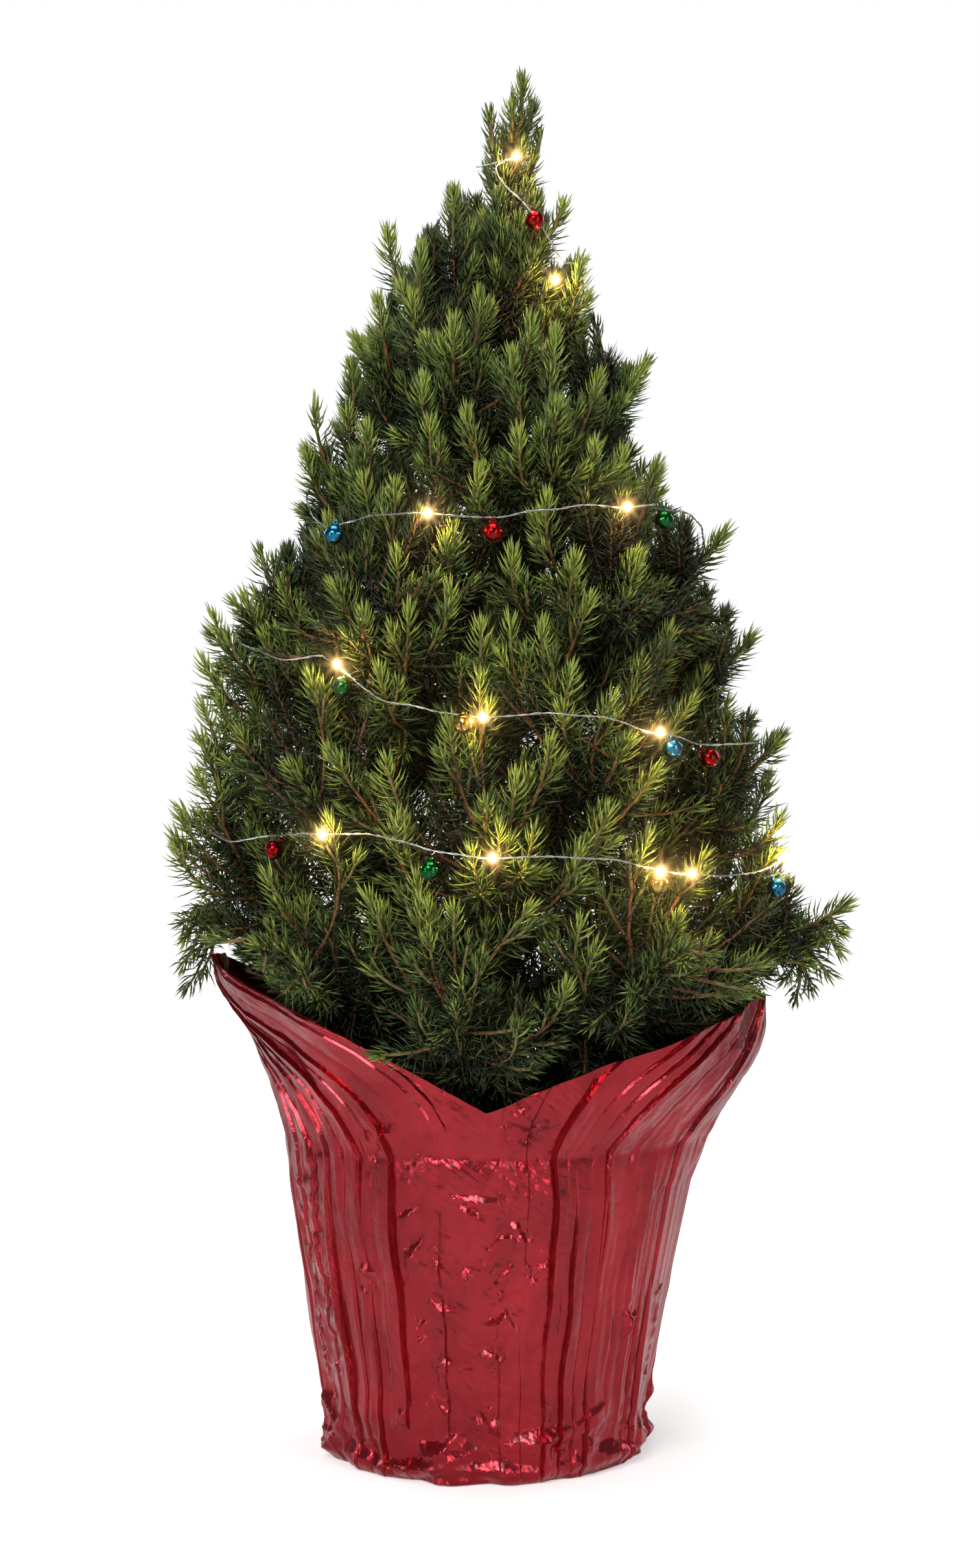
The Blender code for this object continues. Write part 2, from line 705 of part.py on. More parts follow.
def main():
    clear_scene()
    make_pot()
    make_soil()
    make_sleeve()
    trunk = surface_of(make_trunk())
    limbs = plan_limbs()
    axes = {limb.name: [limb.at(k / 6) for k in range(7)] for limb in limbs}
    axes["leader"] = [trunk_centre(TRUNK_TOP_Z - LEADER_CORE_R), trunk_centre(TRUNK_TOP_Z), LEADER_TIP]
    boughs = [[limb.at(BOUGH_SHARE * k / BOUGH_STEPS) for k in range(BOUGH_STEPS + 1)]
              for limb in limbs if limb.long]
    for limb in limbs:
        make_limb(limb, Space(limb.name, axes, boughs), trunk)
    make_leader(Space("leader", axes, boughs))


main()
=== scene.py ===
"""Looks of a young dwarf white spruce in a nursery pot, with a foil sleeve, fairy lights and bells.

Metres, +Z up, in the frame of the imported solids: the origin is the middle of the sleeve's flat
underside and the front of the plant faces -Y. Azimuths run from +X towards +Y.
"""

import math

import bpy
import numpy as np
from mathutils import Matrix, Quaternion, Vector, noise


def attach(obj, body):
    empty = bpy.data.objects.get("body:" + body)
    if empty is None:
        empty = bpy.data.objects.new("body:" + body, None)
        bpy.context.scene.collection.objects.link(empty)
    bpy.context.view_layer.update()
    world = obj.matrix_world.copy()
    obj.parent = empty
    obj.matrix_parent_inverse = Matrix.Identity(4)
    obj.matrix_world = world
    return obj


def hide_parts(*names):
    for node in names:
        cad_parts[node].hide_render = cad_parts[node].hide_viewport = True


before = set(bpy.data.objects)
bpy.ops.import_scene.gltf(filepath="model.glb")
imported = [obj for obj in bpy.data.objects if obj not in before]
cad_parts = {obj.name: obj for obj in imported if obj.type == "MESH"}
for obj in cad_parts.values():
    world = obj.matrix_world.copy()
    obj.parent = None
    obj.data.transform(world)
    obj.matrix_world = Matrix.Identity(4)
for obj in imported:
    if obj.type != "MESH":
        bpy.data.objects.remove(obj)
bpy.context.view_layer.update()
NODES = sorted(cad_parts)
BOUGHS = [node for node in NODES if node.startswith("bough_")]
FOLIAGE = [node for node in NODES if node.startswith("foliage_")]

# The camera, and the scale of its picture at the pot's axis
PICTURE = (1512, 2420)
SENSOR = 36.0
LENS = 63.5
EYE = Vector((0.00168, -1.196, 0.2865))
FOCAL_PX = LENS / SENSOR * PICTURE[1]

# Sizes of the pot and the sleeve, as in the solids
FILM = 0.0010
POT_FOOT_R = 0.0632
POT_RIM_R = 0.0826
POT_RIM_Z = 0.1330
POT_WALL = 0.0016
POT_RIM_BAND = 0.0120
POT_RIM_STEP = 0.0018
SOIL_Z = 0.1200
SOIL_DOME = 0.0025
CUP_FOOT_CLEAR = 0.0008
CUP_RIM_CLEAR = 0.0005
SLEEVE_RIM_Z = 0.1360
SLEEVE_BAND_Z = 0.1190
SLEEVE_FLARE = 0.0500
NOTCH_Z = {"front": 0.1540, "back": 0.1500}
NOTCH_REACH = 0.0030
POINT_REACH = 0.0315
POINT_Z = {"left": 0.2130, "right": 0.1965}
EDGE_FALL = {"front": 1.05, "back": 1.35}
FLARE_CURVE = {"left": 1.8, "right": 1.25}

# Sizes of the tree, as in the solids
TRUNK_FOOT_R = 0.0074
TRUNK_TOP_R = 0.0014
TRUNK_TOP_Z = 0.5250
TRUNK_LEAN = 0.0125
TRUNK_SWAY = 0.0030
ROOT_FLARE = 0.0042
ROOT_FLARE_FADE = 0.0080
LEADER_TIP = Vector((0.0155, 0.0, 0.5950))
CROWN_TOP_Z = 0.6350
CROWN_DEPTH = 0.4500
CROWN_FOOT_R = 0.1400
CROWN_SWELL = 0.0120
CROWN_PLACES = 60
REACH_SCATTER = 0.07
LOWEST_LIMB_Z = 0.1480
ROOT_SCATTER = 0.0100
LIMB_RISE = 0.0560
LIMB_RISE_PER_REACH = 0.36
LEAST_RISE = 0.0400
BEND_OUT = 0.60
BEND_UP = 0.42
LIMB_OVER_EDGE = 0.0150
LIMB_OFF_WALL = 0.0100
LIMB_SPACING = 0.0480
LIMB_SPREAD = 0.0220
LONG_REACH = 0.1100
CLEAR_STEP = 0.0030
GOLDEN_ANGLE = math.radians(137.508)
SPIRES = {
    "back_high": (140, 0.0200, 0.5480),
    "left_high": (183, 0.0440, 0.5330),
    "front_high": (-75, 0.0250, 0.5280),
    "right_high": (4, 0.0420, 0.5180),
    "left_upper": (176, 0.0600, 0.4850),
    "right_upper": (-6, 0.0720, 0.4730),
    "left_rising": (190, 0.0810, 0.4340),
    "right_rising": (12, 0.0800, 0.4280),
    "right_middle": (-8, 0.1070, 0.3990),
    "left_middle": (180, 0.1130, 0.3700),
    "right_broad": (8, 0.1215, 0.3560),
    "right_wide": (-8, 0.1310, 0.3110),
    "left_wide": (186, 0.1350, 0.2800),
    "right_low": (3, 0.1630, 0.2370),
    "left_low": (172, 0.1300, 0.2360),
    "front_low": (-96, 0.1210, 0.2020),
    "front_low_right": (-52, 0.1330, 0.2230),
    "front_low_left": (-138, 0.1300, 0.2180),
    "back_low": (86, 0.1230, 0.2060),
    "back_low_right": (44, 0.1320, 0.2260),
    "back_low_left": (131, 0.1290, 0.2130),
}
BOUGH_R = 0.0031
LIMB_TIP_R = 0.0008

# How far the crown reaches to the left and right of the axis at each height, as the picture shows it
OUTLINE = (
    (0.165, 0.100, 0.112), (0.183, 0.120, 0.131), (0.205, 0.127, 0.150), (0.228, 0.134, 0.157),
    (0.250, 0.132, 0.140), (0.272, 0.138, 0.131), (0.306, 0.127, 0.133), (0.317, 0.126, 0.118),
    (0.351, 0.122, 0.124), (0.373, 0.104, 0.104), (0.396, 0.101, 0.107), (0.407, 0.090, 0.088),
    (0.429, 0.078, 0.080), (0.452, 0.071, 0.070), (0.474, 0.068, 0.070), (0.485, 0.060, 0.055),
    (0.497, 0.052, 0.050), (0.519, 0.049, 0.040), (0.541, 0.030, 0.036), (0.560, 0.014, 0.030),
    (0.595, 0.004, 0.022),
)
OUTLINE_Z, OUTLINE_LEFT, OUTLINE_RIGHT = (np.array(column) for column in zip(*OUTLINE))
DEEPEST = 0.1200

# The crown's edge in the picture, by pixel, from the sleeve's left point over the top to its right one
EDGE = np.array((
    (400, 1640), (330, 1585), (285, 1545), (276, 1460), (284, 1405), (300, 1385), (270, 1330),
    (254, 1275), (252, 1228), (290, 1235), (308, 1225), (297, 1180), (293, 1120), (303, 1080),
    (310, 1040), (303, 1000), (320, 960), (330, 905), (352, 905), (365, 945), (382, 915), (380, 850),
    (388, 815), (424, 790), (442, 755), (455, 700), (452, 675), (475, 672), (476, 640), (484, 600),
    (497, 580), (497, 552), (507, 535), (530, 495), (560, 490), (566, 450), (572, 400), (574, 372),
    (580, 335), (600, 322), (614, 345), (618, 405), (635, 415), (640, 385), (652, 352), (672, 350),
    (676, 275), (690, 262), (719, 270), (728, 305), (745, 295), (741, 262), (748, 248), (746, 160),
    (757, 148), (775, 162), (788, 150), (790, 110), (805, 100), (824, 112), (828, 150), (842, 170),
    (838, 200), (832, 240), (836, 275), (862, 285), (890, 282), (894, 320), (870, 350), (868, 385),
    (884, 378), (908, 382), (922, 405), (918, 450), (935, 455), (938, 485), (925, 520), (933, 545),
    (950, 532), (965, 540), (990, 545), (1010, 535), (1015, 560), (1003, 600), (985, 630), (978, 655),
    (1000, 675), (1025, 682), (1040, 700), (1042, 770), (1050, 800), (1070, 835), (1105, 815),
    (1120, 800), (1142, 812), (1132, 850), (1115, 885), (1100, 930), (1110, 960), (1165, 965),
    (1185, 948), (1196, 990), (1195, 1050), (1178, 1090), (1172, 1120), (1195, 1115), (1215, 1105),
    (1230, 1130), (1226, 1180), (1222, 1240), (1216, 1290), (1228, 1340), (1226, 1390), (1280, 1395),
    (1320, 1372), (1345, 1385), (1312, 1425), (1290, 1500), (1250, 1548), (1240, 1590), (1180, 1640),
    (750, 1800),
), float)

# Twigs: the solids' sprays stand at every second place of this finer rule
SPRAY_LENGTH = 0.0640
FIRST_SPRAY = 0.10
SPRAY_STEP = 0.12
LAST_SPRAY = 0.90
FINER = 2
FIRST_TURN = math.radians(102)
SPRAY_TURN = math.radians(-85)
HALF_STEP_TURN = math.radians(150)
SHORTER = (1.0, 0.86, 0.72, 0.58, 0.44, 0.32)
TWIG_R = 0.00092
TWIG_TIP_R = 0.00064
SHORT_LIMB_R = 0.0020
OLD_WOOD_R = 0.0018
TIP_NEEDLES = 0.0075
SIDE_TWIGS = (0.34, 0.58)
LEAST_TWIG = 0.0120
LEAST_PARENT = 0.0300
LONGEST_SIDE = 0.0340
SLACK = 0.0040
SIDE_SLACK = 0.0030
BRUSH_SHARE = 0.62
BRUSH_LENGTH = 0.0260
# Painted shade: the share of light of the limbs' side twigs, which darkens their needles and skin
SIDE_TWIG_LIGHT_SHARE = 0.60
FRESH_LENGTH = 0.0170
# Half the width of the crown's middle, where low twigs take the most painted shade
LIT_MIDDLE = 0.0600
SEED = 41

# How far twigs stay over the film's edge and off its wall, and how low they may hang past it
OVER_EDGE = 0.0060
OFF_WALL = 0.0040
SOIL_CLEAR = 0.0030
HANGING_BELOW = 0.2750
LOWEST_HANGING = 0.1600
FRONT_OVERHANG = 0.0080
FRONT_HALF = 0.1200

# The film's left point in the picture, in pixels, and how deep it stands: no needle is in front of it
POINT_SEEN = (320, 1464)
POINT_SEEN_WIDE = 34
POINT_SEEN_TALL = 84
POINT_SEEN_OVER = 6
POINT_DEPTH = 0.0100

# Inner twigs: the cells in which a look through the crown is counted, and the least count of each
SHADE_CELL = 0.0090
SHADE_INSET = 0.0170
SHADE_LEAST = 7
SHADE_LEAST_AHEAD = 14
# Painted shade: the share of light of the inner twigs, which paints their needles and skin dark, and the
# share below which a twig takes the darker skins
SHADE_GLOW = 0.22
DIM_GLOW = 0.25
POINT_STEP = 0.0030

# Needles: sizes and tilts when young, what age and the crown's wide foot add, and how many grow per metre
NEEDLE_R = 0.00032
TIP_NEEDLE_R = 0.00048
NEEDLE_LENGTH = 0.0074
LONGER_WITH_AGE = 0.0050
LONGER_WHERE_WIDE = 0.12
NEEDLE_TILT = 20
TILT_WITH_AGE = 44
TILT_WHERE_WIDE = 22
NEEDLE_AGES = 0.0135
NEEDLE_YOUTH = 0.0050
DENSITY_OPEN = 1260
DENSITY_SHADE = 420
LEAST_NEEDLES = 14
MORE_NEEDLES = 9
CROWDING = 1.26
WIDE_Z = (0.250, 0.340, 0.440, 0.520)
WIDE_SHARE = (1.0, 0.72, 0.30, 0.0)
SPIRES_FROM = 0.4000
MOST_TRIANGLES = 190000

# The shell of one needle of each tint: how many of its radii its foot and its middle are wide, 0 for a foot
# that is a point and for no middle, then its quads and triangles
SPIKE = ((0, 2, 1), (0, 1, 3), (1, 2, 3), (2, 0, 3))
BENT_SPIKE = ((0, 2, 1), (0, 3, 2), (0, 1, 3), (1, 2, 4), (2, 3, 4), (3, 1, 4))
BLADE_SIDES = ((0, 1, 4, 3), (1, 2, 5, 4), (2, 0, 3, 5))
BLADE_ENDS = ((0, 2, 1), (3, 4, 6), (4, 5, 6), (5, 3, 6))
NEEDLE_SHELLS = {
    "shade": (1.9, 0, (), SPIKE), "deep": (1.3, 0, (), SPIKE), "middle": (0, 1.1, (), BENT_SPIKE),
    "light": (0, 1.1, (), BENT_SPIKE), "tip": (0.8, 1.0, BLADE_SIDES, BLADE_ENDS),
}

# Colours, from dark to light
# The needles' tints go by their age and by painted light and shade: the dark ones are for old needles and for
# needles in the crown's shade, the light ones for young needles in the open
NEEDLE_TINTS = {
    "shade": ((0.0030, 0.0056, 0.0018), (0.0072, 0.0120, 0.0034)),
    "deep": ((0.0078, 0.0154, 0.0042), (0.0165, 0.0270, 0.0068)),
    "middle": ((0.0185, 0.0325, 0.0068), (0.0340, 0.0535, 0.0108)),
    "light": ((0.0510, 0.0830, 0.0134), (0.0850, 0.1260, 0.0200)),
    "tip": ((0.148, 0.2060, 0.0300), (0.226, 0.2840, 0.0480)),
}
BARKS = {
    "twig_skin_old": ((0.036, 0.018, 0.010), (0.080, 0.037, 0.017), (0.145, 0.070, 0.032)),
    "twig_skin_orange": ((0.058, 0.023, 0.009), (0.125, 0.050, 0.018), (0.210, 0.094, 0.036)),
    "twig_skin_pale": ((0.075, 0.056, 0.020), (0.130, 0.100, 0.038), (0.190, 0.152, 0.066)),
    "bark_trunk": ((0.040, 0.022, 0.013), (0.110, 0.062, 0.034), (0.210, 0.130, 0.075)),
    "bark_bough": ((0.060, 0.028, 0.014), (0.150, 0.072, 0.032), (0.240, 0.130, 0.062)),
}
SOILS = {
    "soil_damp": ((0.012, 0.008, 0.006), (0.040, 0.025, 0.017), (0.090, 0.058, 0.038)),
    "soil_crumbs": ((0.030, 0.016, 0.010), (0.085, 0.045, 0.026), (0.160, 0.090, 0.052)),
    "soil_specks": ((0.50, 0.49, 0.46), (0.66, 0.65, 0.62), (0.78, 0.77, 0.74)),
}
FOIL_COLOURS = ((0.260, 0.0072, 0.0140), (0.365, 0.0110, 0.0210), (0.450, 0.0160, 0.0300))

# Metals: two colours, roughness, and whether it is bare metal
METALS = {
    "bell_red": ((0.30, 0.004, 0.007), (0.48, 0.008, 0.012), 0.16, 1.0),
    "bell_green": ((0.004, 0.10, 0.022), (0.010, 0.17, 0.040), 0.16, 1.0),
    "bell_blue": ((0.016, 0.17, 0.34), (0.034, 0.27, 0.48), 0.16, 1.0),
    "bell_gold": ((0.48, 0.30, 0.06), (0.66, 0.44, 0.11), 0.16, 1.0),
    # Painted shade: near black, for the inside of a bell seen through its slots
    "bell_slot_shade": ((0.004, 0.004, 0.004), (0.010, 0.010, 0.010), 0.5, 0.0),
    "wire_silver": ((0.42, 0.42, 0.42), (0.66, 0.66, 0.65), 0.32, 1.0),
}

rng = np.random.default_rng(SEED)


# Materials

SPECULAR = "Specular IOR Level"


def feed(tree, node, inputs):
    """Sets each socket that is named or numbered to a value, or links it to the socket given for it."""
    for name, value in inputs.items():
        if isinstance(value, bpy.types.NodeSocket):
            tree.links.new(value, node.inputs[name])
        elif value is not None:
            node.inputs[name].default_value = value


def add_node(tree, kind, inputs=None, **settings):
    made = tree.nodes.new(kind)
    for name, value in settings.items():
        setattr(made, name, value)
    feed(tree, made, inputs or {})
    return made


def mapping(tree, vector, **inputs):
    return add_node(tree, "ShaderNodeMapping", {"Vector": vector, **inputs}).outputs["Vector"]


def object_coordinates(tree, stretch=(1, 1, 1)):
    return mapping(tree, add_node(tree, "ShaderNodeTexCoord").outputs["Object"], Scale=stretch)


def noise_node(tree, vector, scale, detail=3.0, roughness=0.55):
    inputs = {"Vector": vector, "Scale": scale, "Detail": detail, "Roughness": roughness}
    return add_node(tree, "ShaderNodeTexNoise", inputs).outputs["Fac"]


def ramp(tree, factor, stops):
    made = add_node(tree, "ShaderNodeValToRGB", {"Fac": factor})
    while len(made.color_ramp.elements) < len(stops):
        made.color_ramp.elements.new(0.5)
    for element, (place, colour) in zip(made.color_ramp.elements, stops):
        element.position = place
        element.color = (*colour, 1.0)
    return made.outputs["Color"]


def mapped(tree, value, to_low, to_high, from_low=0.25, from_high=0.75):
    """Maps a value, such as a noise, to a range, such as a roughness."""
    inputs = {"Value": value, "From Min": from_low, "From Max": from_high,
              "To Min": to_low, "To Max": to_high}
    return add_node(tree, "ShaderNodeMapRange", inputs).outputs["Result"]


def surface(name, noises, places, colours, rough, reliefs=(), stretch=(1, 1, 1), values=None):
    """A material whose first noise gives its colour, and whose last its gloss where rough is a range.

    Each relief is the number of a noise or a function that makes a height, with its depth and strength.
    """
    made = bpy.data.materials.new(name)
    made.use_nodes = True
    tree = made.node_tree
    place = object_coordinates(tree, stretch)
    found = [noise_node(tree, place, *each) for each in noises]
    if isinstance(rough, tuple):
        rough = mapped(tree, found[-1], *rough)
    normal = None
    for height, depth, strength in reliefs:
        height = height(tree, place) if callable(height) else found[height]
        inputs = {"Height": height, "Distance": depth, "Strength": strength, "Normal": normal}
        normal = add_node(tree, "ShaderNodeBump", inputs).outputs["Normal"]
    colour = ramp(tree, found[0], tuple(zip(places, colours)))
    feed(tree, tree.nodes["Principled BSDF"],
         {"Base Color": colour, "Roughness": rough, "Normal": normal, **(values or {})})
    return made


def needle_material(tint):
    """Waxy needles: the colour wanders from needle to needle, with a fine grain along them."""
    return surface("needles_" + tint, ((160.0, 2.0), (1500.0, 2.0)), (0.32, 0.68), NEEDLE_TINTS[tint],
                   (0.35, 0.52), ((1, 0.00008, 0.6),), values={SPECULAR: 0.38})


def bark_material(name, scale=420.0, relief=0.0003):
    """Bark or young twig skin: streaks along it, darker cracks and a rough relief."""
    noises = ((scale, 5.0, 0.65), (scale * 3.2, 4.0, 0.6))
    reliefs = ((0, relief, 0.8), (1, relief * 0.35, 0.7))
    return surface(name, noises, (0.30, 0.50, 0.72), BARKS[name], (0.62, 0.92), reliefs, (1.0, 1.0, 0.45),
                   {SPECULAR: 0.25})


def pot_material():
    """Black plastic, dusty in patches, with a fine grain."""
    return surface("pot_black_plastic", ((60.0, 5.0), (1400.0, 2.0)), (0.35, 0.75),
                   ((0.012, 0.012, 0.013), (0.040, 0.037, 0.034)), (0.45, 0.62), ((1, 0.00006, 0.5),))


def soil_material(name):
    """Matt crumbs."""
    return surface(name, ((520.0, 6.0, 0.7),), (0.30, 0.55, 0.80), SOILS[name], (0.75, 0.95),
                   ((0, 0.0009, 0.8),))


def metal_material(name):
    """Polished or drawn metal whose gloss wanders a little."""
    *colours, rough, metallic = METALS[name]
    return surface(name, ((700.0, 3.0),), (0.30, 0.70), colours, (rough * 0.7, rough * 1.4),
                   ((0, 0.00005, 0.25),), values={"Metallic": metallic})


def bead_material():
    """The clear resin drop of a lit warm white light."""
    glow = {"Emission Color": (1.0, 0.74, 0.36, 1.0), "Emission Strength": 26.0}
    return surface("light_warm_white", ((500.0, 2.0),), (0.3, 0.7), ((1.0, 0.80, 0.45), (1.0, 0.90, 0.62)),
                   0.15, values=glow)


def cells(tree, vector, scale):
    """The distance to the nearest edge between cells."""
    inputs = {"Vector": vector, "Scale": scale}
    return add_node(tree, "ShaderNodeTexVoronoi", inputs, feature="DISTANCE_TO_EDGE").outputs["Distance"]


def crinkles(tree, place):
    return cells(tree, place, 190.0)


def slanted_wrinkles(tree, place):
    """Long slanting cells, which fade where the pleats begin on either side."""
    slanted = mapping(tree, place, Rotation=(0, math.radians(48), 0))
    pressed = cells(tree, mapping(tree, slanted, Scale=(1.0, 1.0, 0.22)), 230.0)
    sides = add_node(tree, "ShaderNodeSeparateXYZ", {0: place})
    off_middle = add_node(tree, "ShaderNodeMath", {0: sides.outputs["X"]}, operation="ABSOLUTE")
    middle = mapped(tree, off_middle.outputs["Value"], 1.0, 0.12, 0.028, 0.044)
    return add_node(tree, "ShaderNodeMath", {0: pressed, 1: middle}, operation="MULTIPLY").outputs["Value"]


def long_wrinkles(tree, place):
    """Soft upright wrinkles, with coordinates of their own in place of those given."""
    return noise_node(tree, object_coordinates(tree, (1.0, 1.0, 0.45)), 330.0, 2.0, 0.4)


def foil_material():
    """Satin metallic film: crimson, with pressed wrinkles, rub marks along it and pin-head glints."""
    reliefs = ((crinkles, 0.0010, 0.28), (slanted_wrinkles, 0.0014, 0.62), (long_wrinkles, 0.0011, 0.30),
               (1, 0.00012, 0.55))
    values = {"Metallic": 0.86, "Coat Weight": 0.42, "Coat Roughness": 0.24}
    made = surface("foil_satin_crimson", ((40.0, 4.0), (1100.0, 3.0)), (0.30, 0.52, 0.74), FOIL_COLOURS, None,
                   reliefs, values=values)
    tree = made.node_tree
    rubbed = noise_node(tree, object_coordinates(tree, (1.0, 1.0, 0.12)), 240.0, 4.0)
    feed(tree, tree.nodes["Principled BSDF"], {"Roughness": mapped(tree, rubbed, 0.13, 0.27)})
    return made


# Meshes

class Heap:
    """The shells of one piece, gathered before they become one mesh."""

    def __init__(self):
        self.points, self.quads, self.tris, self.count = [], [], [], 0

    def add(self, points, quads=(), tris=()):
        self.points.append(np.asarray(points, np.float32))
        if len(quads):
            self.quads.append(np.asarray(quads, np.int32) + self.count)
        if len(tris):
            self.tris.append(np.asarray(tris, np.int32) + self.count)
        self.count += len(points)

    def piece(self, name, material, sharp=None):
        """Makes the mesh, which rides on the plant's one body."""
        points = np.concatenate(self.points)
        quads = np.concatenate(self.quads) if self.quads else np.zeros((0, 4), np.int32)
        tris = np.concatenate(self.tris) if self.tris else np.zeros((0, 3), np.int32)
        mesh = bpy.data.meshes.new(name)
        mesh.vertices.add(len(points))
        mesh.vertices.foreach_set("co", points.ravel())
        corners = np.concatenate([quads.ravel(), tris.ravel()])
        starts = np.concatenate([np.arange(len(quads)) * 4, quads.size + np.arange(len(tris)) * 3])
        mesh.loops.add(len(corners))
        mesh.loops.foreach_set("vertex_index", corners.astype(np.int32))
        mesh.polygons.add(len(starts))
        mesh.polygons.foreach_set("loop_start", starts.astype(np.int32))
        mesh.update(calc_edges=True)
        mesh.shade_smooth()
        if sharp:
            mesh.set_sharp_from_angle(angle=math.radians(sharp))
        mesh.materials.append(material)
        return rider(name, mesh)


def linked(name, data):
    made = bpy.data.objects.new(name, data)
    bpy.context.scene.collection.objects.link(made)
    return made


def rider(name, mesh):
    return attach(linked(name, mesh), "root")


def unit(vectors):
    return vectors / np.maximum(np.linalg.norm(vectors, axis=-1, keepdims=True), 1e-12)


def outward(azimuth):
    return Vector((math.cos(azimuth), math.sin(azimuth), 0))


def raised(way, rise):
    """A direction that rises by so much more."""
    return (way + Vector((0, 0, rise))).normalized()


def sideways(ways):
    """Two vectors across each direction."""
    helper = np.where(np.abs(ways[:, 2:3]) < 0.9, [[0.0, 0.0, 1.0]], [[1.0, 0.0, 0.0]])
    first = unit(np.cross(ways, helper))
    return first, np.cross(ways, first)


def run_along(points):
    """How far along a path each of its points is."""
    return np.concatenate([[0], np.cumsum(np.linalg.norm(np.diff(points, axis=0), axis=1))])


def placed_along(points, run, wanted):
    """The places on a path at the distances wanted."""
    return np.stack([np.interp(wanted, run, points[:, k]) for k in range(3)], -1)


def bent(start, bend, end, rows):
    """Points on a path that leaves start towards bend, and reaches end from there."""
    s = np.linspace(0, 1, rows)[:, None]
    return (1 - s) ** 2 * start + 2 * s * (1 - s) * bend + s * s * end


def curved(start, first, last, length, rows=8):
    """Points on a path of that length whose direction turns from first to last."""
    s = np.linspace(0, 1, rows)[:, None]
    start, first, last = (np.array(v, float) for v in (start, first, last))
    return start + length * (s * first + 0.5 * s * s * (last - first))


def carried_frames(path):
    """Tangents of a path and two vectors across them that turn as little as possible."""
    ways = unit(np.gradient(path, axis=0))
    first = sideways(ways[:1])[0][0]
    firsts = []
    for way in ways:
        first = first - way * first.dot(way)
        first /= np.linalg.norm(first)
        firsts.append(first)
    firsts = np.array(firsts)
    return ways, firsts, np.cross(ways, firsts)


def turns_of(sides):
    return 2 * math.pi * np.arange(sides) / sides


def skin(heap, rings, foot, head):
    """A closed shell over rings of points, with a fan to one point at either end."""
    count, sides = rings.shape[:2]
    here = np.arange(sides)
    after = (here + 1) % sides
    starts = np.arange(count - 1)[:, None] * sides
    low, nxt = (starts + here).ravel(), (starts + after).ravel()
    quads = np.stack([low, nxt, nxt + sides, low + sides], 1)
    end, last = np.full(sides, count * sides), (count - 1) * sides
    tris = np.concatenate([np.stack([end, after, here], 1),
                           np.stack([end + 1, last + here, last + after], 1)])
    heap.add(np.concatenate([rings.reshape(-1, 3), [foot], [head]]), quads, tris)


def tube(heap, path, radii, sides, relief=None):
    """A closed tube with flat ends along a path. relief gives each point's share of the radius."""
    path = np.asarray(path, float)
    _, first, second = carried_frames(path)
    turns = turns_of(sides)
    across = first[:, None] * np.cos(turns)[None, :, None] + second[:, None] * np.sin(turns)[None, :, None]
    widths = np.broadcast_to(np.asarray(radii, float)[:, None], (len(path), sides))
    if relief is not None:
        widths = widths * relief
    skin(heap, path[:, None] + across * widths[..., None], path[0], path[-1])


def circle(radius, z, sides):
    turns = turns_of(sides)
    return np.stack([radius * np.cos(turns), radius * np.sin(turns), np.full(sides, z)], 1)


def lathe(heap, profile, sides, centre=(0, 0, 0)):
    """A closed solid of revolution from (radius, height) pairs that start and end on the axis."""
    centre = np.asarray(centre, float)
    rings = np.array([circle(radius, z, sides) for radius, z in profile[1:-1]]) + centre
    skin(heap, rings, centre + (0, 0, profile[0][1]), centre + (0, 0, profile[-1][1]))


# The trunk and limbs, by the solids' own rule

def sleeve_cup_radius(z):
    low = POT_FOOT_R + CUP_FOOT_CLEAR
    high = POT_RIM_R + CUP_RIM_CLEAR
    above = np.maximum(0.0, np.minimum(z, SLEEVE_RIM_Z) - SLEEVE_BAND_Z)
    return low + (high - low) * np.minimum(1.0, z / SLEEVE_BAND_Z) + SLEEVE_FLARE * above


def sleeve_edge(azimuth):
    """The radius and height of the sleeve's cut edge, for one azimuth or an array of them."""
    left, front = np.cos(azimuth) < 0, np.sin(azimuth) < 0
    point = np.where(left, POINT_Z["left"], POINT_Z["right"])
    notch = np.where(front, NOTCH_Z["front"], NOTCH_Z["back"])
    swing = np.abs(np.cos(azimuth)) ** np.where(front, EDGE_FALL["front"], EDGE_FALL["back"])
    reach = sleeve_cup_radius(SLEEVE_RIM_Z) + NOTCH_REACH + POINT_REACH * swing
    return reach, notch + (point - notch) * swing


def sleeve_radius(azimuth, z):
    reach, top = sleeve_edge(azimuth)
    share = np.clip((z - SLEEVE_RIM_Z) / (top - SLEEVE_RIM_Z), 0.0, 1.0)
    rim = sleeve_cup_radius(SLEEVE_RIM_Z)
    to_right = (1 + np.cos(azimuth)) / 2
    left = share ** FLARE_CURVE["left"]
    right = np.sin(np.pi / 2 * np.minimum(1.0, FLARE_CURVE["right"] * share)) ** 1.1
    flared = rim + (reach - rim) * (left + (right - left) * to_right)
    return np.where(z <= SLEEVE_RIM_Z, sleeve_cup_radius(z), flared)


def trunk_centre(z):
    share = max(0.0, (z - SOIL_Z) / (TRUNK_TOP_Z - SOIL_Z))
    return Vector((TRUNK_LEAN * share ** 1.6, TRUNK_SWAY * math.sin(math.pi * share), z))


def trunk_radius(z):
    share = min(1.0, max(0.0, (z - SOIL_Z) / (TRUNK_TOP_Z - SOIL_Z)))
    taper = TRUNK_TOP_R + (TRUNK_FOOT_R - TRUNK_TOP_R) * (1 - share) ** 0.9
    return taper + ROOT_FLARE * math.exp(-(z - SOIL_Z) / ROOT_FLARE_FADE)


def crown_radius(z):
    share = (CROWN_TOP_Z - z) / CROWN_DEPTH
    return CROWN_FOOT_R * share + CROWN_SWELL * math.sin(math.pi * min(share, 1.0))


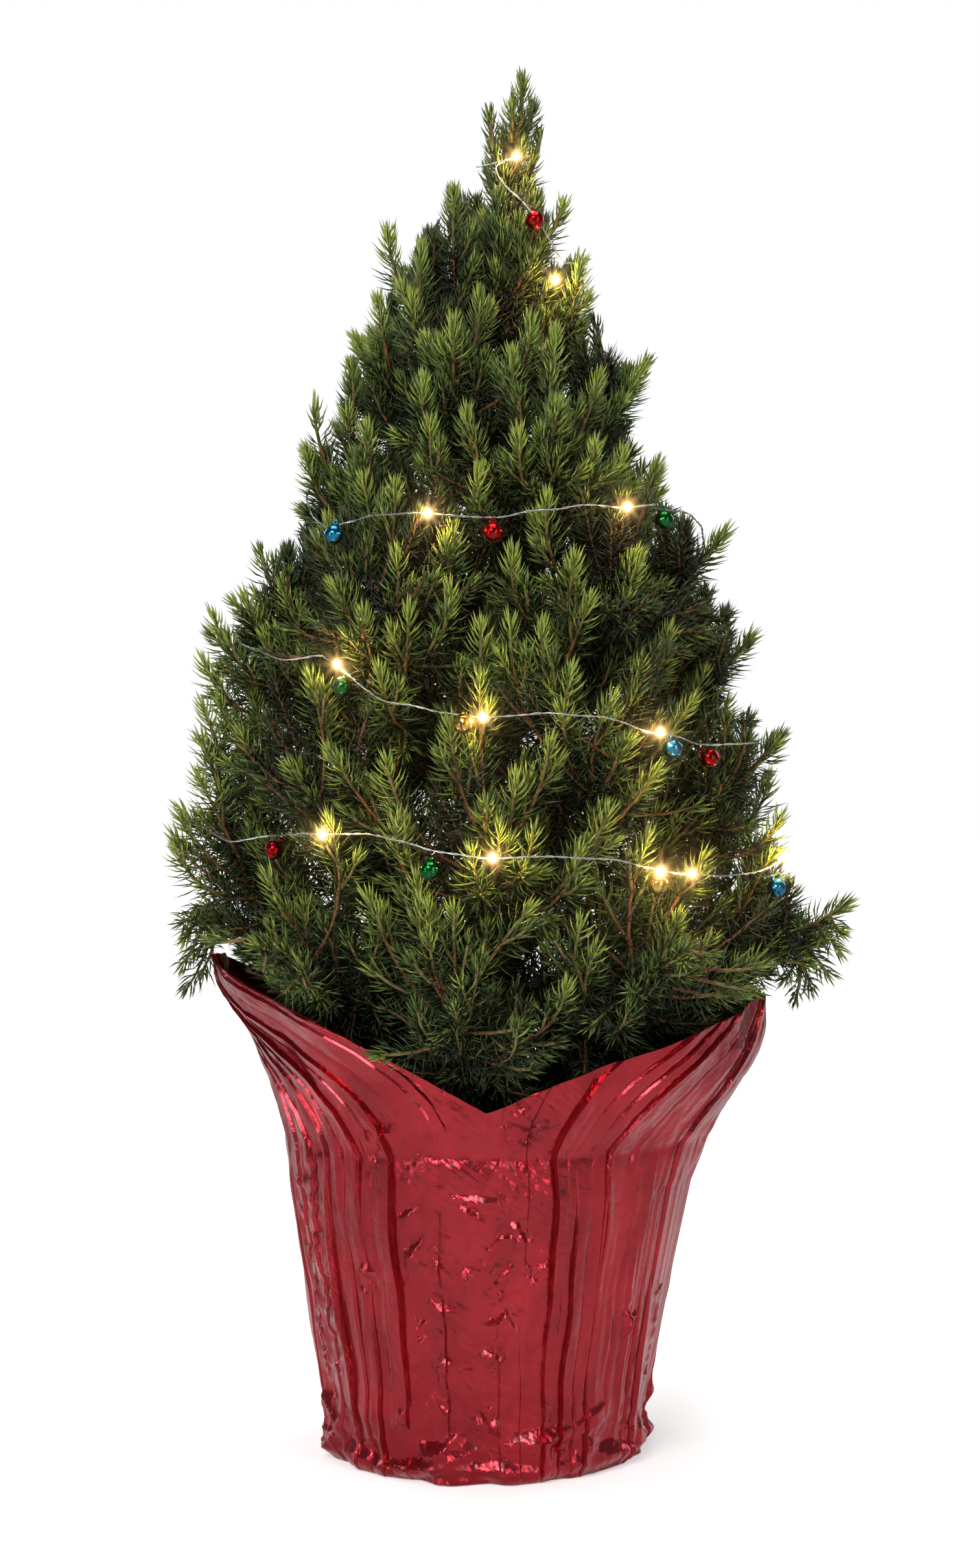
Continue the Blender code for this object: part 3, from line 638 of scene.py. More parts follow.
def crown_reach(azimuth, z):
    """How far the needles reach from the axis, between the two outlines and the deepest front and back."""
    left = np.interp(z, OUTLINE_Z, OUTLINE_LEFT)
    right = np.interp(z, OUTLINE_Z, OUTLINE_RIGHT)
    side = left if math.cos(azimuth) < 0 else right
    share = math.cos(azimuth) ** 2
    return side * share + min(0.5 * (left + right), DEEPEST) * (1 - share)


class Limb:
    """The centreline of one limb, from the trunk's axis out and up to its furthest tip."""

    def __init__(self, name, azimuth, reach, tip_z):
        self.name, self.reach = name, reach
        self.out = outward(azimuth)
        self.long = reach > LONG_REACH
        low = LOWEST_LIMB_Z + ROOT_SCATTER * (1 + math.sin(5 * azimuth))
        self.aim(max(tip_z - LIMB_RISE - LIMB_RISE_PER_REACH * reach, low), tip_z)
        while not self.clears_sleeve():
            lifted = self.root.z + CLEAR_STEP
            self.aim(lifted, max(self.tip.z, lifted + LEAST_RISE))

    def aim(self, root_z, tip_z):
        self.root = trunk_centre(root_z)
        self.tip = self.out * self.reach + Vector((0, 0, tip_z))
        self.bend = self.root.lerp(self.tip, BEND_OUT)
        self.bend.z = root_z + BEND_UP * (tip_z - root_z)

    def at(self, t):
        t = float(t)
        return (1 - t) ** 2 * self.root + 2 * t * (1 - t) * self.bend + t * t * self.tip

    def way(self, t):
        t = float(t)
        return ((1 - t) * (self.bend - self.root) + t * (self.tip - self.bend)).normalized()

    def clears_sleeve(self):
        for point in (self.at(k / 12) for k in range(13)):
            azimuth = math.atan2(point.y, point.x)
            edge = sleeve_edge(azimuth)[1]
            wall = sleeve_radius(azimuth, min(point.z, edge))
            if point.z < edge + LIMB_OVER_EDGE and point.xy.length > wall - LIMB_OFF_WALL:
                return False
        return True


def plan_limbs():
    limbs = [Limb(name, math.radians(azimuth), reach, tip_z)
             for name, (azimuth, reach, tip_z) in SPIRES.items()]
    for step in range(1, CROWN_PLACES):
        share = math.sqrt((step + 0.5) / CROWN_PLACES)
        azimuth = step * GOLDEN_ANGLE
        tip_z = CROWN_TOP_Z - CROWN_DEPTH * share
        reach = crown_radius(tip_z) * (1 + REACH_SCATTER * math.sin(7 * step))
        limb = Limb(f"place_{step}", azimuth, reach, tip_z)
        if min((limb.tip - other.tip).length for other in limbs) >= LIMB_SPACING + LIMB_SPREAD * share:
            limbs.append(limb)
    return limbs


class Room:
    """Where the twigs of one limb may grow: nearer to it than to the others, and clear of the sleeve."""

    def __init__(self, limbs):
        axes = [[limb.at(k / 6) for k in range(7)] for limb in limbs]
        axes.append([trunk_centre(TRUNK_TOP_Z - 0.012 + 0.002 * k) for k in range(6)] + [LEADER_TIP])
        axes = np.array([[tuple(p) for p in axis] for axis in axes])
        self.foot, self.along = axes[:, :-1], axes[:, 1:] - axes[:, :-1]
        self.reach = np.linalg.norm(axes[..., :2], axis=2).max(1)

    def distances(self, points):
        """From each point to each limb."""
        away = points[:, None, None] - self.foot[None]
        share = np.clip((away * self.along).sum(-1) / (self.along ** 2).sum(-1), 0, 1)
        return np.linalg.norm(away - share[..., None] * self.along, axis=-1).min(2)

    def holds(self, points, own, slack):
        radial = np.linalg.norm(points[:, :2], axis=1)
        if (radial > self.reach[own] + 0.003).any() or not clear_of_sleeve(points, 0.007, 0.005).all():
            return False
        far = self.distances(points)
        return bool((far[:, own] <= far.min(1) + slack).all())


def clear_of_sleeve(points, over=OVER_EDGE, off=OFF_WALL, outside=None):
    """Whether each point is over the sleeve's edge, inside its wall, or where that may be, outside it."""
    azimuth = np.arctan2(points[:, 1], points[:, 0])
    edge = sleeve_edge(azimuth)[1]
    wall = sleeve_radius(azimuth, np.minimum(points[:, 2], edge))
    radial = np.linalg.norm(points[:, :2], axis=1)
    clear = ((points[:, 2] > edge + over) | (radial < wall - off)) & (points[:, 2] > SOIL_Z + SOIL_CLEAR)
    if outside is None:
        return clear
    before_film = (points[:, 1] < 0) & (np.abs(points[:, 0]) < FRONT_HALF)
    lowest = np.where(before_film, edge - FRONT_OVERHANG, LOWEST_HANGING)
    return clear | ((radial > wall + outside) & (points[:, 2] > lowest))


# The picture

def from_view(x, y, depth):
    """The point that the picture shows at pixel x, y and whose own y is the depth given."""
    scale = (depth - EYE.y) / FOCAL_PX
    return np.array([EYE.x + (x - PICTURE[0] / 2) * scale, depth, EYE.z - (y - PICTURE[1] / 2) * scale])


def in_view(points):
    """The pixels at which the picture shows points."""
    scale = FOCAL_PX / (points[:, 1] - EYE.y)
    return np.stack([PICTURE[0] / 2 + (points[:, 0] - EYE.x) * scale,
                     PICTURE[1] / 2 - (points[:, 2] - EYE.z) * scale], 1)


def inside_edge(points):
    """Whether the picture shows each point inside the crown's edge."""
    x, y = in_view(points).T
    a, b = EDGE, np.roll(EDGE, -1, axis=0)
    crossed = (a[:, 1] > y[:, None]) != (b[:, 1] > y[:, None])
    slope = (b[:, 0] - a[:, 0]) / np.where(b[:, 1] == a[:, 1], 1e-9, b[:, 1] - a[:, 1])
    left = x[:, None] < a[:, 0] + slope * (y[:, None] - a[:, 1])
    return (crossed & left).sum(1) % 2 == 1


def within_crown(path, side=0.0050, ahead=0.0045):
    """Whether the picture shows a shoot with its needles inside the crown's edge."""
    way = unit(path[-1] - path[-2])
    side += float(np.interp(path[-1][2], (0.43, 0.50), (0.0, 0.0025)))
    middle = path[len(path) * 2 // 3]
    probes = np.array([path[-1] + ahead * way, path[-1] + (side, 0, 0), path[-1] - (side, 0, 0),
                       middle + (side, 0, 0), middle - (side, 0, 0)])
    return bool(inside_edge(probes).all()) and not hides_point(path).any()


def hides_point(points):
    """Whether the picture shows points in front of the film's left point, which stands free of needles."""
    right, down = (in_view(points) - POINT_SEEN).T
    beside = (right > 0) & (right < POINT_SEEN_WIDE + down)
    return beside & (down > -POINT_SEEN_OVER) & (down < POINT_SEEN_TALL) & (points[:, 1] < POINT_DEPTH)


def on_crown(x, y):
    """The point of the crown's front surface that the picture shows at a pixel."""
    depth = -0.08
    for _ in range(8):
        point = from_view(x, y, depth)
        reach = min(crown_radius(min(max(point[2], 0.2), 0.58)), DEEPEST)
        depth = -math.sqrt(max(reach ** 2 - point[0] ** 2, (0.30 * reach) ** 2))
    return from_view(x, y, depth)


# Twigs and needles

class Twig:
    """A twig with needles: its path, its share of light, painted into the colours of its needles and skin,
    the radii at its ends, and how much is bare.
    """

    def __init__(self, path, glow, foot_r=TWIG_R, tip_r=TWIG_TIP_R, bare=0.0):
        self.path = np.asarray(path, float)
        self.glow, self.foot_r, self.tip_r, self.bare = glow, foot_r, tip_r, bare
        self.run = run_along(self.path)
        self.length = self.run[-1]
        # Painted shade: twigs low in the crown take less light, and those over its middle less still, so
        # their needles are darker
        middle = abs(self.path[-1][0]) < LIT_MIDDLE
        self.lit = float(np.interp(self.path[-1][2], (0.170, 0.250), (0.50 if middle else 0.66, 1.0)))

    def at(self, run):
        return placed_along(self.path, self.run, run)

    def draw(self, heap, start, end, rings, sides, share=1.0):
        """Adds the wood from one distance along it to another."""
        run = np.linspace(start, end, rings)
        radii = self.foot_r + (self.tip_r - self.foot_r) * (run / self.length) ** 0.8
        tube(heap, self.at(run), radii * share, sides)


def lean_at(z):
    """How far shoots lean out for each unit that they rise: little at the top, much at the foot."""
    return float(np.interp(z, (0.20, 0.27, 0.36, 0.48, 0.56), (0.95, 0.62, 0.34, 0.20, 0.10)))


def openness(tip):
    """From 0 in the shade of the crown to 1 where a tip stands in the open: the share of light that is
    painted into its twig's colours.
    """
    reach = crown_reach(math.atan2(tip[1], tip[0]), tip[2])
    outer = math.hypot(tip[0], tip[1]) / max(0.020, reach)
    return min(1.0, max(0.0, (outer - 0.42) / 0.36))


def main_twigs(limbs, room):
    """The limbs themselves, and the side twigs that the rule sets round them."""
    twigs = []
    for own, limb in enumerate(limbs):
        path = np.array([tuple(limb.at(t)) for t in np.linspace(0.04, 1, 15)])
        path[-1] -= np.array(limb.way(1)) * TIP_NEEDLES
        twigs.append(Twig(path, 1.0, BOUGH_R if limb.long else SHORT_LIMB_R, LIMB_TIP_R, 0.3))
        place, turn = FIRST_SPRAY, 0
        while place < LAST_SPRAY:
            for half in range(FINER):
                t = place + SPRAY_STEP * half / FINER
                way = limb.way(t)
                outer = (limb.out - way * limb.out.dot(way)).normalized()
                beside = Quaternion(way, FIRST_TURN + turn * SPRAY_TURN + half * HALF_STEP_TURN) @ outer
                wide = 0.62 + 0.12 * rng.normal()
                first = (0.80 * way + wide * beside).normalized()
                lean = lean_at(limb.tip.z) * 0.5 * limb.out
                last = (0.35 * first + Vector((0, 0, 0.8)) + lean).normalized()
                size = SPRAY_LENGTH * (0.66 + 0.34 * min(1.0, limb.reach / CROWN_FOOT_R))
                size *= min(1.0, 1.45 * (1.10 - t)) * rng.uniform(0.85, 1.1)
                if t > BRUSH_SHARE:
                    first = (way + 0.40 * wide * beside).normalized()
                    size = min(size, 0.9 * (limb.tip - limb.at(t)).length, BRUSH_LENGTH)
                grow(twigs, room, own, limb.at(t), first, last, size, SLACK)
            place += SPRAY_STEP
            turn += 1
    return twigs


def grow(twigs, room, own, start, first, last, size, slack, sides=True):
    """Adds a twig as long as its room allows, with shorter twigs on its own sides."""
    for shorter in SHORTER:
        path = curved(start, first, last, size * shorter)
        if room.holds(path[2:], own, slack) and within_crown(path):
            break
    else:
        return
    size *= shorter
    if size < LEAST_TWIG:
        return
    wood = curved(start, first, last, size - TIP_NEEDLES * 0.8)
    # Painted shade: a side twig takes less light the deeper in the crown it ends
    twigs.append(Twig(wood, SIDE_TWIG_LIGHT_SHARE * openness(path[-1]), TWIG_R * (0.8 + 5 * size)))
    if sides and size > LEAST_PARENT:
        side_twigs(twigs, room, own, start, first, last, size, slack)


def across_from(way, angle):
    """A direction across a way, turned round it by an angle."""
    across = way.orthogonal().normalized()
    across.rotate(Quaternion(way, angle))
    return across


def side_twigs(twigs, room, own, start, first, last, size, slack):
    first, last = Vector(first), Vector(last)
    spin = rng.uniform(0, 2 * math.pi)
    for k, share in enumerate(SIDE_TWIGS):
        way = (first + share * (last - first)).normalized()
        across = across_from(way, spin + k * GOLDEN_ANGLE + 0.5 * rng.normal())
        if across.z < -0.45:
            across.z = -across.z
        out = (0.80 * way + 0.58 * across).normalized()
        at = curved(start, first, last, size, 21)[int(share * 20)]
        length = min(LONGEST_SIDE, (size * (1 - share) * 0.75 + 0.006) * rng.uniform(0.8, 1.15))
        grow(twigs, room, own, at, out, raised(out, 0.75), length, slack + SIDE_SLACK, sides=False)


# The shoots at the top of the tree: the place in the picture of each tip and foot, and how deep it stands
TOP_SHOOTS = (
    (806, 100, 794, 262, 0.000), (755, 152, 783, 290, -0.004), (833, 186, 800, 300, 0.004),
    (786, 206, 790, 300, 0.010), (774, 236, 786, 330, -0.010), (815, 262, 800, 350, -0.008),
    (760, 262, 780, 360, 0.012), (868, 294, 812, 400, 0.002), (840, 320, 805, 410, 0.016),
    (752, 312, 778, 420, -0.016), (800, 318, 790, 420, -0.020), (712, 300, 760, 410, 0.008),
    (790, 132, 789, 240, -0.004), (822, 140, 798, 240, 0.004), (776, 186, 787, 280, 0.004),
    (820, 214, 800, 300, -0.008), (804, 160, 796, 250, 0.010),
    (820, 372, 795, 470, -0.026), (764, 388, 778, 480, -0.026), (852, 410, 805, 490, -0.018),
    (735, 356, 768, 450, 0.020), (780, 345, 785, 440, 0.024), (716, 404, 765, 500, 0.026),
)
BUSHY_TOP_SHOOTS = (4, 6, 9, 10, 17, 20)


def leader_twigs(twigs):
    """The top of the tree: the leading shoot and the short ones that crowd round it."""
    for number, (x, y, foot_x, foot_y, depth) in enumerate(TOP_SHOOTS):
        tip = from_view(x, y, depth) - np.array([0, 0, TIP_NEEDLES])
        foot = from_view(foot_x, foot_y, 0.25 * depth)
        bend = foot + 0.55 * (tip - foot)
        bend[:2] += 0.35 * (tip - foot)[:2]
        path = bent(foot, bend, tip, 10)
        twigs.append(Twig(path, 0.75, 0.0014, 0.0009, 0.05))
        if number in BUSHY_TOP_SHOOTS:
            for k, share in enumerate((0.40, 0.58)):
                out = raised(outward(number + 2.4 * k), 1.5)
                twigs.append(Twig(curved(path[int(9 * share)], out, raised(out, 1.2), 0.020), 0.7))


# Tips of shoots on the front of the crown: pixel, lean to the right, and length in millimetres
FRONT_SHOOTS = (
    (699, 274, 0.0, 52), (597, 334, -0.05, 56), (650, 358, 0.05, 44), (636, 432, 0.0, 46),
    (582, 440, -0.1, 40), (740, 430, 0.0, 40), (897, 388, 0.1, 46), (860, 490, 0.1, 44),
    (700, 470, 0.0, 44), (820, 470, 0.05, 40), (790, 518, 0.0, 50), (655, 562, 0.1, 44),
    (665, 628, 0.05, 56), (563, 636, -0.1, 46), (741, 702, 0.1, 42), (720, 610, 0.0, 38),
    (607, 724, -0.05, 44), (556, 716, -0.2, 42), (922, 662, 0.1, 50), (970, 676, 0.3, 42),
    (1022, 694, 0.35, 46), (890, 836, 0.15, 48), (793, 826, 0.1, 36), (635, 916, 0.1, 54),
    (787, 935, 0.0, 54), (738, 940, -0.1, 40), (920, 904, 0.4, 52), (1040, 952, 0.3, 44),
    (890, 1012, 0.3, 48), (496, 1140, -0.6, 60), (799, 1176, 0.1, 44), (1028, 1170, 0.7, 56),
    (835, 1384, 0.9, 60), (659, 1425, -0.1, 34), (460, 1460, -0.2, 40), (1053, 1394, 0.3, 40),
    (798, 1562, 0.0, 36), (412, 1478, -0.5, 38), (520, 1515, -0.2, 40), (558, 922, -0.1, 42),
    (956, 1055, 0.5, 44), (1180, 1455, 0.6, 44), (695, 885, 0.0, 34), (620, 1240, 0.2, 40),
    (540, 545, -0.1, 40), (720, 1290, -0.2, 36), (900, 1290, 0.2, 38), (580, 1010, -0.2, 40),
    (430, 880, -0.3, 44), (400, 960, -0.4, 44), (990, 850, 0.3, 40), (1080, 1060, 0.6, 46),
    (360, 1110, -0.5, 46), (930, 1440, 0.4, 40), (740, 1460, 0.1, 40), (560, 1360, -0.3, 42),
    (880, 1500, 0.2, 34), (640, 1530, -0.1, 36), (700, 1380, 0.0, 38), (400, 1330, -0.5, 42),
    (480, 600, -0.1, 44), (470, 680, -0.15, 46), (860, 600, 0.1, 40), (930, 560, 0.25, 46),
    (1000, 548, 0.5, 50), (800, 640, 0.0, 40), (846, 742, 0.1, 40), (700, 790, 0.0, 40),
    (610, 830, -0.1, 42), (500, 780, -0.2, 46), (652, 1368, 0.1, 36), (640, 1330, -0.1, 38),
    (905, 1400, 0.3, 38), (770, 1250, 0.0, 40), (500, 1240, -0.3, 40), (1010, 1270, 0.4, 42),
    (1110, 1430, 0.6, 40), (980, 1530, 0.3, 34), (570, 1590, -0.1, 32), (860, 1620, 0.1, 30),
    (322, 930, -0.3, 44), (306, 1000, -0.35, 42), (300, 1118, -0.4, 44), (296, 1176, -0.45, 42),
    (346, 962, -0.3, 40), (328, 1060, -0.4, 40), (258, 1268, -0.5, 36), (372, 900, -0.3, 40),
    (395, 830, -0.3, 40), (292, 1408, -0.4, 40), (268, 1240, -0.5, 44), (262, 1290, -0.4, 40),
    (300, 1460, -0.7, 34), (305, 1070, -0.4, 40), (1300, 1440, 0.9, 40), (1270, 1500, 0.9, 36),
    (1200, 1300, 0.5, 40), (1212, 1240, 0.4, 40), (1000, 1000, 0.4, 42), (850, 1120, 0.1, 40),
    (690, 1090, -0.1, 42), (590, 1150, -0.2, 44), (470, 1020, -0.3, 46), (740, 1020, 0.0, 40),
    (840, 940, 0.1, 40), (950, 1230, 0.4, 44), (830, 1260, 0.2, 40), (1100, 1300, 0.6, 46),
)
SHOOTS = 300


def shoot_to(twigs, places, tip, last, length, glow):
    """A shoot that ends at a tip, grown from the limb that carries it best, with up to three side shoots."""
    foot = tip - last * length - Vector((tip.x, tip.y, 0)).normalized() * 0.3 * length

    def cost(place):
        return (place - foot).length + 0.3 * max(0.0, place.z - foot.z)

    start = min(places, key=cost)
    end = tip - last * TIP_NEEDLES
    reach = (end - start).length
    bend = end - last * min(0.62 * reach, length)
    path = bent(np.array(start), np.array(bend), np.array(end), 13)
    if not clear_of_sleeve(path).all():
        return
    twigs.append(Twig(path, glow, bare=min(0.38, max(0.0, 1 - (length + 0.030) / reach))))
    run = twigs[-1].run
    spin = rng.uniform(0, 2 * math.pi)
    for k, back in enumerate((0.024, 0.036, 0.048)):
        if back > 0.8 * run[-1]:
            break
        index = min(11, int(np.searchsorted(run, run[-1] - back)))
        way = Vector(path[index + 1] - path[index - 1]).normalized()
        out = (0.85 * way + 0.55 * across_from(way, spin + k * GOLDEN_ANGLE)).normalized()
        side = curved(path[index], out, raised(0.7 * out + 0.6 * way, 0.3),
                      (0.006 + 0.38 * back) * rng.uniform(0.8, 1.2))
        if clear_of_sleeve(side).all() and within_crown(side):
            twigs.append(Twig(side, 0.70 * glow))


def carriers_of(limbs, shares, levels):
    """Places on the limbs and the trunk that twigs may grow from."""
    places = [limb.at(t) for limb in limbs for t in shares]
    return places + [trunk_centre(z) for z in levels]


def outer_shoots(twigs, limbs):
    """The shoots that the picture shows, and others by the golden angle over the rest of the crown."""
    places = carriers_of(limbs, np.linspace(0.25, 0.92, 18), np.linspace(0.20, 0.52, 40))
    for x, y, lean, length in FRONT_SHOOTS:
        tip = Vector(on_crown(x, y))
        forward = -0.10 - 0.45 * max(0.0, lean_at(tip.z) - 0.1)
        shoot_to(twigs, places, tip, Vector((lean, forward, 1.0)).normalized(), length / 1000, 1.0)
    levels = np.linspace(0.205, 0.560, 200)
    area = np.cumsum([crown_radius(z) for z in levels])
    for number in range(SHOOTS):
        z = float(np.interp((number + 0.5) / SHOOTS * area[-1], area, levels))
        azimuth = number * GOLDEN_ANGLE
        front = max(0.0, -math.sin(azimuth))
        if front > 0.35 and number % 2:
            continue
        out = outward(azimuth)
        lean = lean_at(z) * rng.uniform(0.6, 1.2)
        last = (out * lean + Vector((0.1 * rng.normal(), 0.1 * rng.normal(), 1.0))).normalized()
        share = rng.uniform(0.84, 0.98) * (1 - 0.30 * front ** 0.5)
        size = rng.uniform(0.036, 0.052)
        for shorter in (1.0, 0.93, 0.86, 0.79):
            tip = out * ((crown_reach(azimuth, z) - 0.004) * share * shorter) + Vector((0, 0, z))
            end = np.array(tip)
            if within_crown(np.array([end - np.array(last) * size, end - np.array(last) * size * 0.4, end])):
                # Painted shade: shoots on the front take less light, so their needles are darker
                shoot_to(twigs, places, tip, last, size, openness(tip) * (1 - 0.4 * front))
                break


# Tips of the twigs that hang past the film's two points: their pixels, and how deep they stand
PAST_POINTS = (
    (286, 1446, 0.012), (284, 1486, 0.022), (290, 1524, 0.030), (308, 1550, 0.036), (312, 1500, 0.030),
    (280, 1424, 0.006), (300, 1416, -0.004), (304, 1468, 0.020), (1300, 1438, 0.000),
    (1294, 1466, 0.008), (1276, 1500, 0.014), (1250, 1522, 0.020), (1228, 1540, 0.028),
    (1212, 1510, 0.020), (1250, 1480, 0.004), (1215, 1465, 0.002), (1270, 1450, -0.008),
    (1230, 1430, -0.010),
)


def hanging_twigs(twigs, limbs):
    """Side twigs of the lowest long limbs, which reach out over the sleeve's edge or droop past it."""
    for limb in limbs:
        if limb.tip.z > HANGING_BELOW or not limb.long:
            continue
        for number, t in enumerate(np.linspace(0.66, 1.0, 11)):
            swing = (1 if number % 2 else -1) * rng.uniform(0.15, 1.15)
            out = Quaternion((0, 0, 1), swing) @ limb.out
            first = raised(out, rng.uniform(-0.45, 0.10))
            last = raised(out, rng.uniform(-0.30, 0.40))
            for size in (0.044, 0.036, 0.029, 0.023, 0.017):
                path = curved(limb.at(t), first, last, size)
                deepest = np.abs(path[:, 1]).max() < DEEPEST - 0.004
                if deepest and clear_of_sleeve(path[1:], outside=0.006).all() and within_crown(path):
                    wood = curved(limb.at(t), first, last, size - TIP_NEEDLES * 0.8)
                    twigs.append(Twig(wood, 0.66, TWIG_R * 1.1))
                    break
    low_limbs = [limb for limb in limbs if limb.name in ("left_low", "right_low")]
    carriers = carriers_of(low_limbs, np.linspace(0.80, 0.98, 10), ())
    for x, y, depth in PAST_POINTS:
        tip = from_view(x, y, depth)
        start = np.array(min(carriers, key=lambda place: (place - Vector(tip)).length))
        reach = np.linalg.norm(tip - start)
        path = bent(start, start + reach * np.array([0.10 * np.sign(tip[0]), 0.15, -0.50]), tip, 10)
        if clear_of_sleeve(path, 0.003, 0.003, 0.003).all():
            twigs.append(Twig(path, 0.86, TWIG_R * 1.1))


def shade_twigs(twigs, limbs):
    """Inner twigs painted dark for shade, wherever a look through the crown, from the front, a side or
    between, finds few.
    """
    feet = carriers_of(limbs, np.linspace(0.12, 0.74, 14), np.linspace(0.15, 0.50, 40))
    feet = np.array([tuple(place) for place in feet])
    points = np.concatenate([twig.at(np.arange(twig.bare * twig.length, twig.length, POINT_STEP))
                             for twig in twigs])
    us = np.arange(-0.135, 0.136, SHADE_CELL)
    zs = np.arange(0.150, 0.540, SHADE_CELL)
    for heading in (0, 90, 45, 135):
        across = np.array([math.cos(math.radians(heading)), math.sin(math.radians(heading)), 0])
        inward = np.array([-across[1], across[0], 0])
        from_lens = heading == 0
        least = SHADE_LEAST_AHEAD if from_lens else SHADE_LEAST
        near = points[:, 1] / -EYE.y + 1 if from_lens else np.ones(len(points))
        heights = EYE.z + (points[:, 2] - EYE.z) / near
        counts = np.histogram2d(points @ across / near, heights, [us, zs])[0]
        for i, u in enumerate((us[:-1] + us[1:]) / 2):
            for j, z in enumerate((zs[:-1] + zs[1:]) / 2):
                reach = crown_reach(math.atan2(across[1] * u, across[0] * u), z)
                if abs(u) > reach - SHADE_INSET:
                    continue
                deep = math.sqrt(reach ** 2 - u ** 2)
                for _ in range(int(least - counts[i, j] + 2) // 3):
                    depth = deep * rng.uniform(-0.55, 0.45)
                    tip = u * across + depth * inward + np.array([0, 0, z + 0.006])
                    if from_lens:
                        wider = depth / -EYE.y + 1
                        tip = np.array([u * wider, depth, EYE.z + (tip[2] - EYE.z) * wider])
                    away = np.linalg.norm(feet - (tip - (0, 0, 0.020)), axis=1)
                    foot = feet[int(np.argmin(away))]
                    path = bent(foot, (foot + tip) / 2 - np.array([0, 0, 0.15 * away.min()]), tip, 8)
                    if np.linalg.norm(tip - foot) > LEAST_TWIG and clear_of_sleeve(path, off=0.005).all():
                        twigs.append(Twig(path, SHADE_GLOW))
                        more = twigs[-1].at(np.arange(0, twigs[-1].length, POINT_STEP))
                        points = np.concatenate([points, more])


TRUNK_TWIGS = 46
TRUNK_TWIGS_Z = (0.136, 0.515)


def trunk_twigs(twigs):
    """Short old twigs on the trunk itself, which fill the shade round it, their needles painted dark for it.
    """
    low, high = TRUNK_TWIGS_Z
    for k in range(TRUNK_TWIGS):
        z = low + (high - low) * (k + 0.5) / TRUNK_TWIGS
        out = outward(k * GOLDEN_ANGLE)
        start = trunk_centre(z) + out * trunk_radius(z) * 0.6
        size = 0.030 + 0.030 * (0.56 - z) / 0.42
        path = curved(start, raised(out, 0.55), raised(out, 1.1), size)
        if clear_of_sleeve(path, off=0.010).all():
            twigs.append(Twig(path, 0.15, TWIG_R * 1.2))


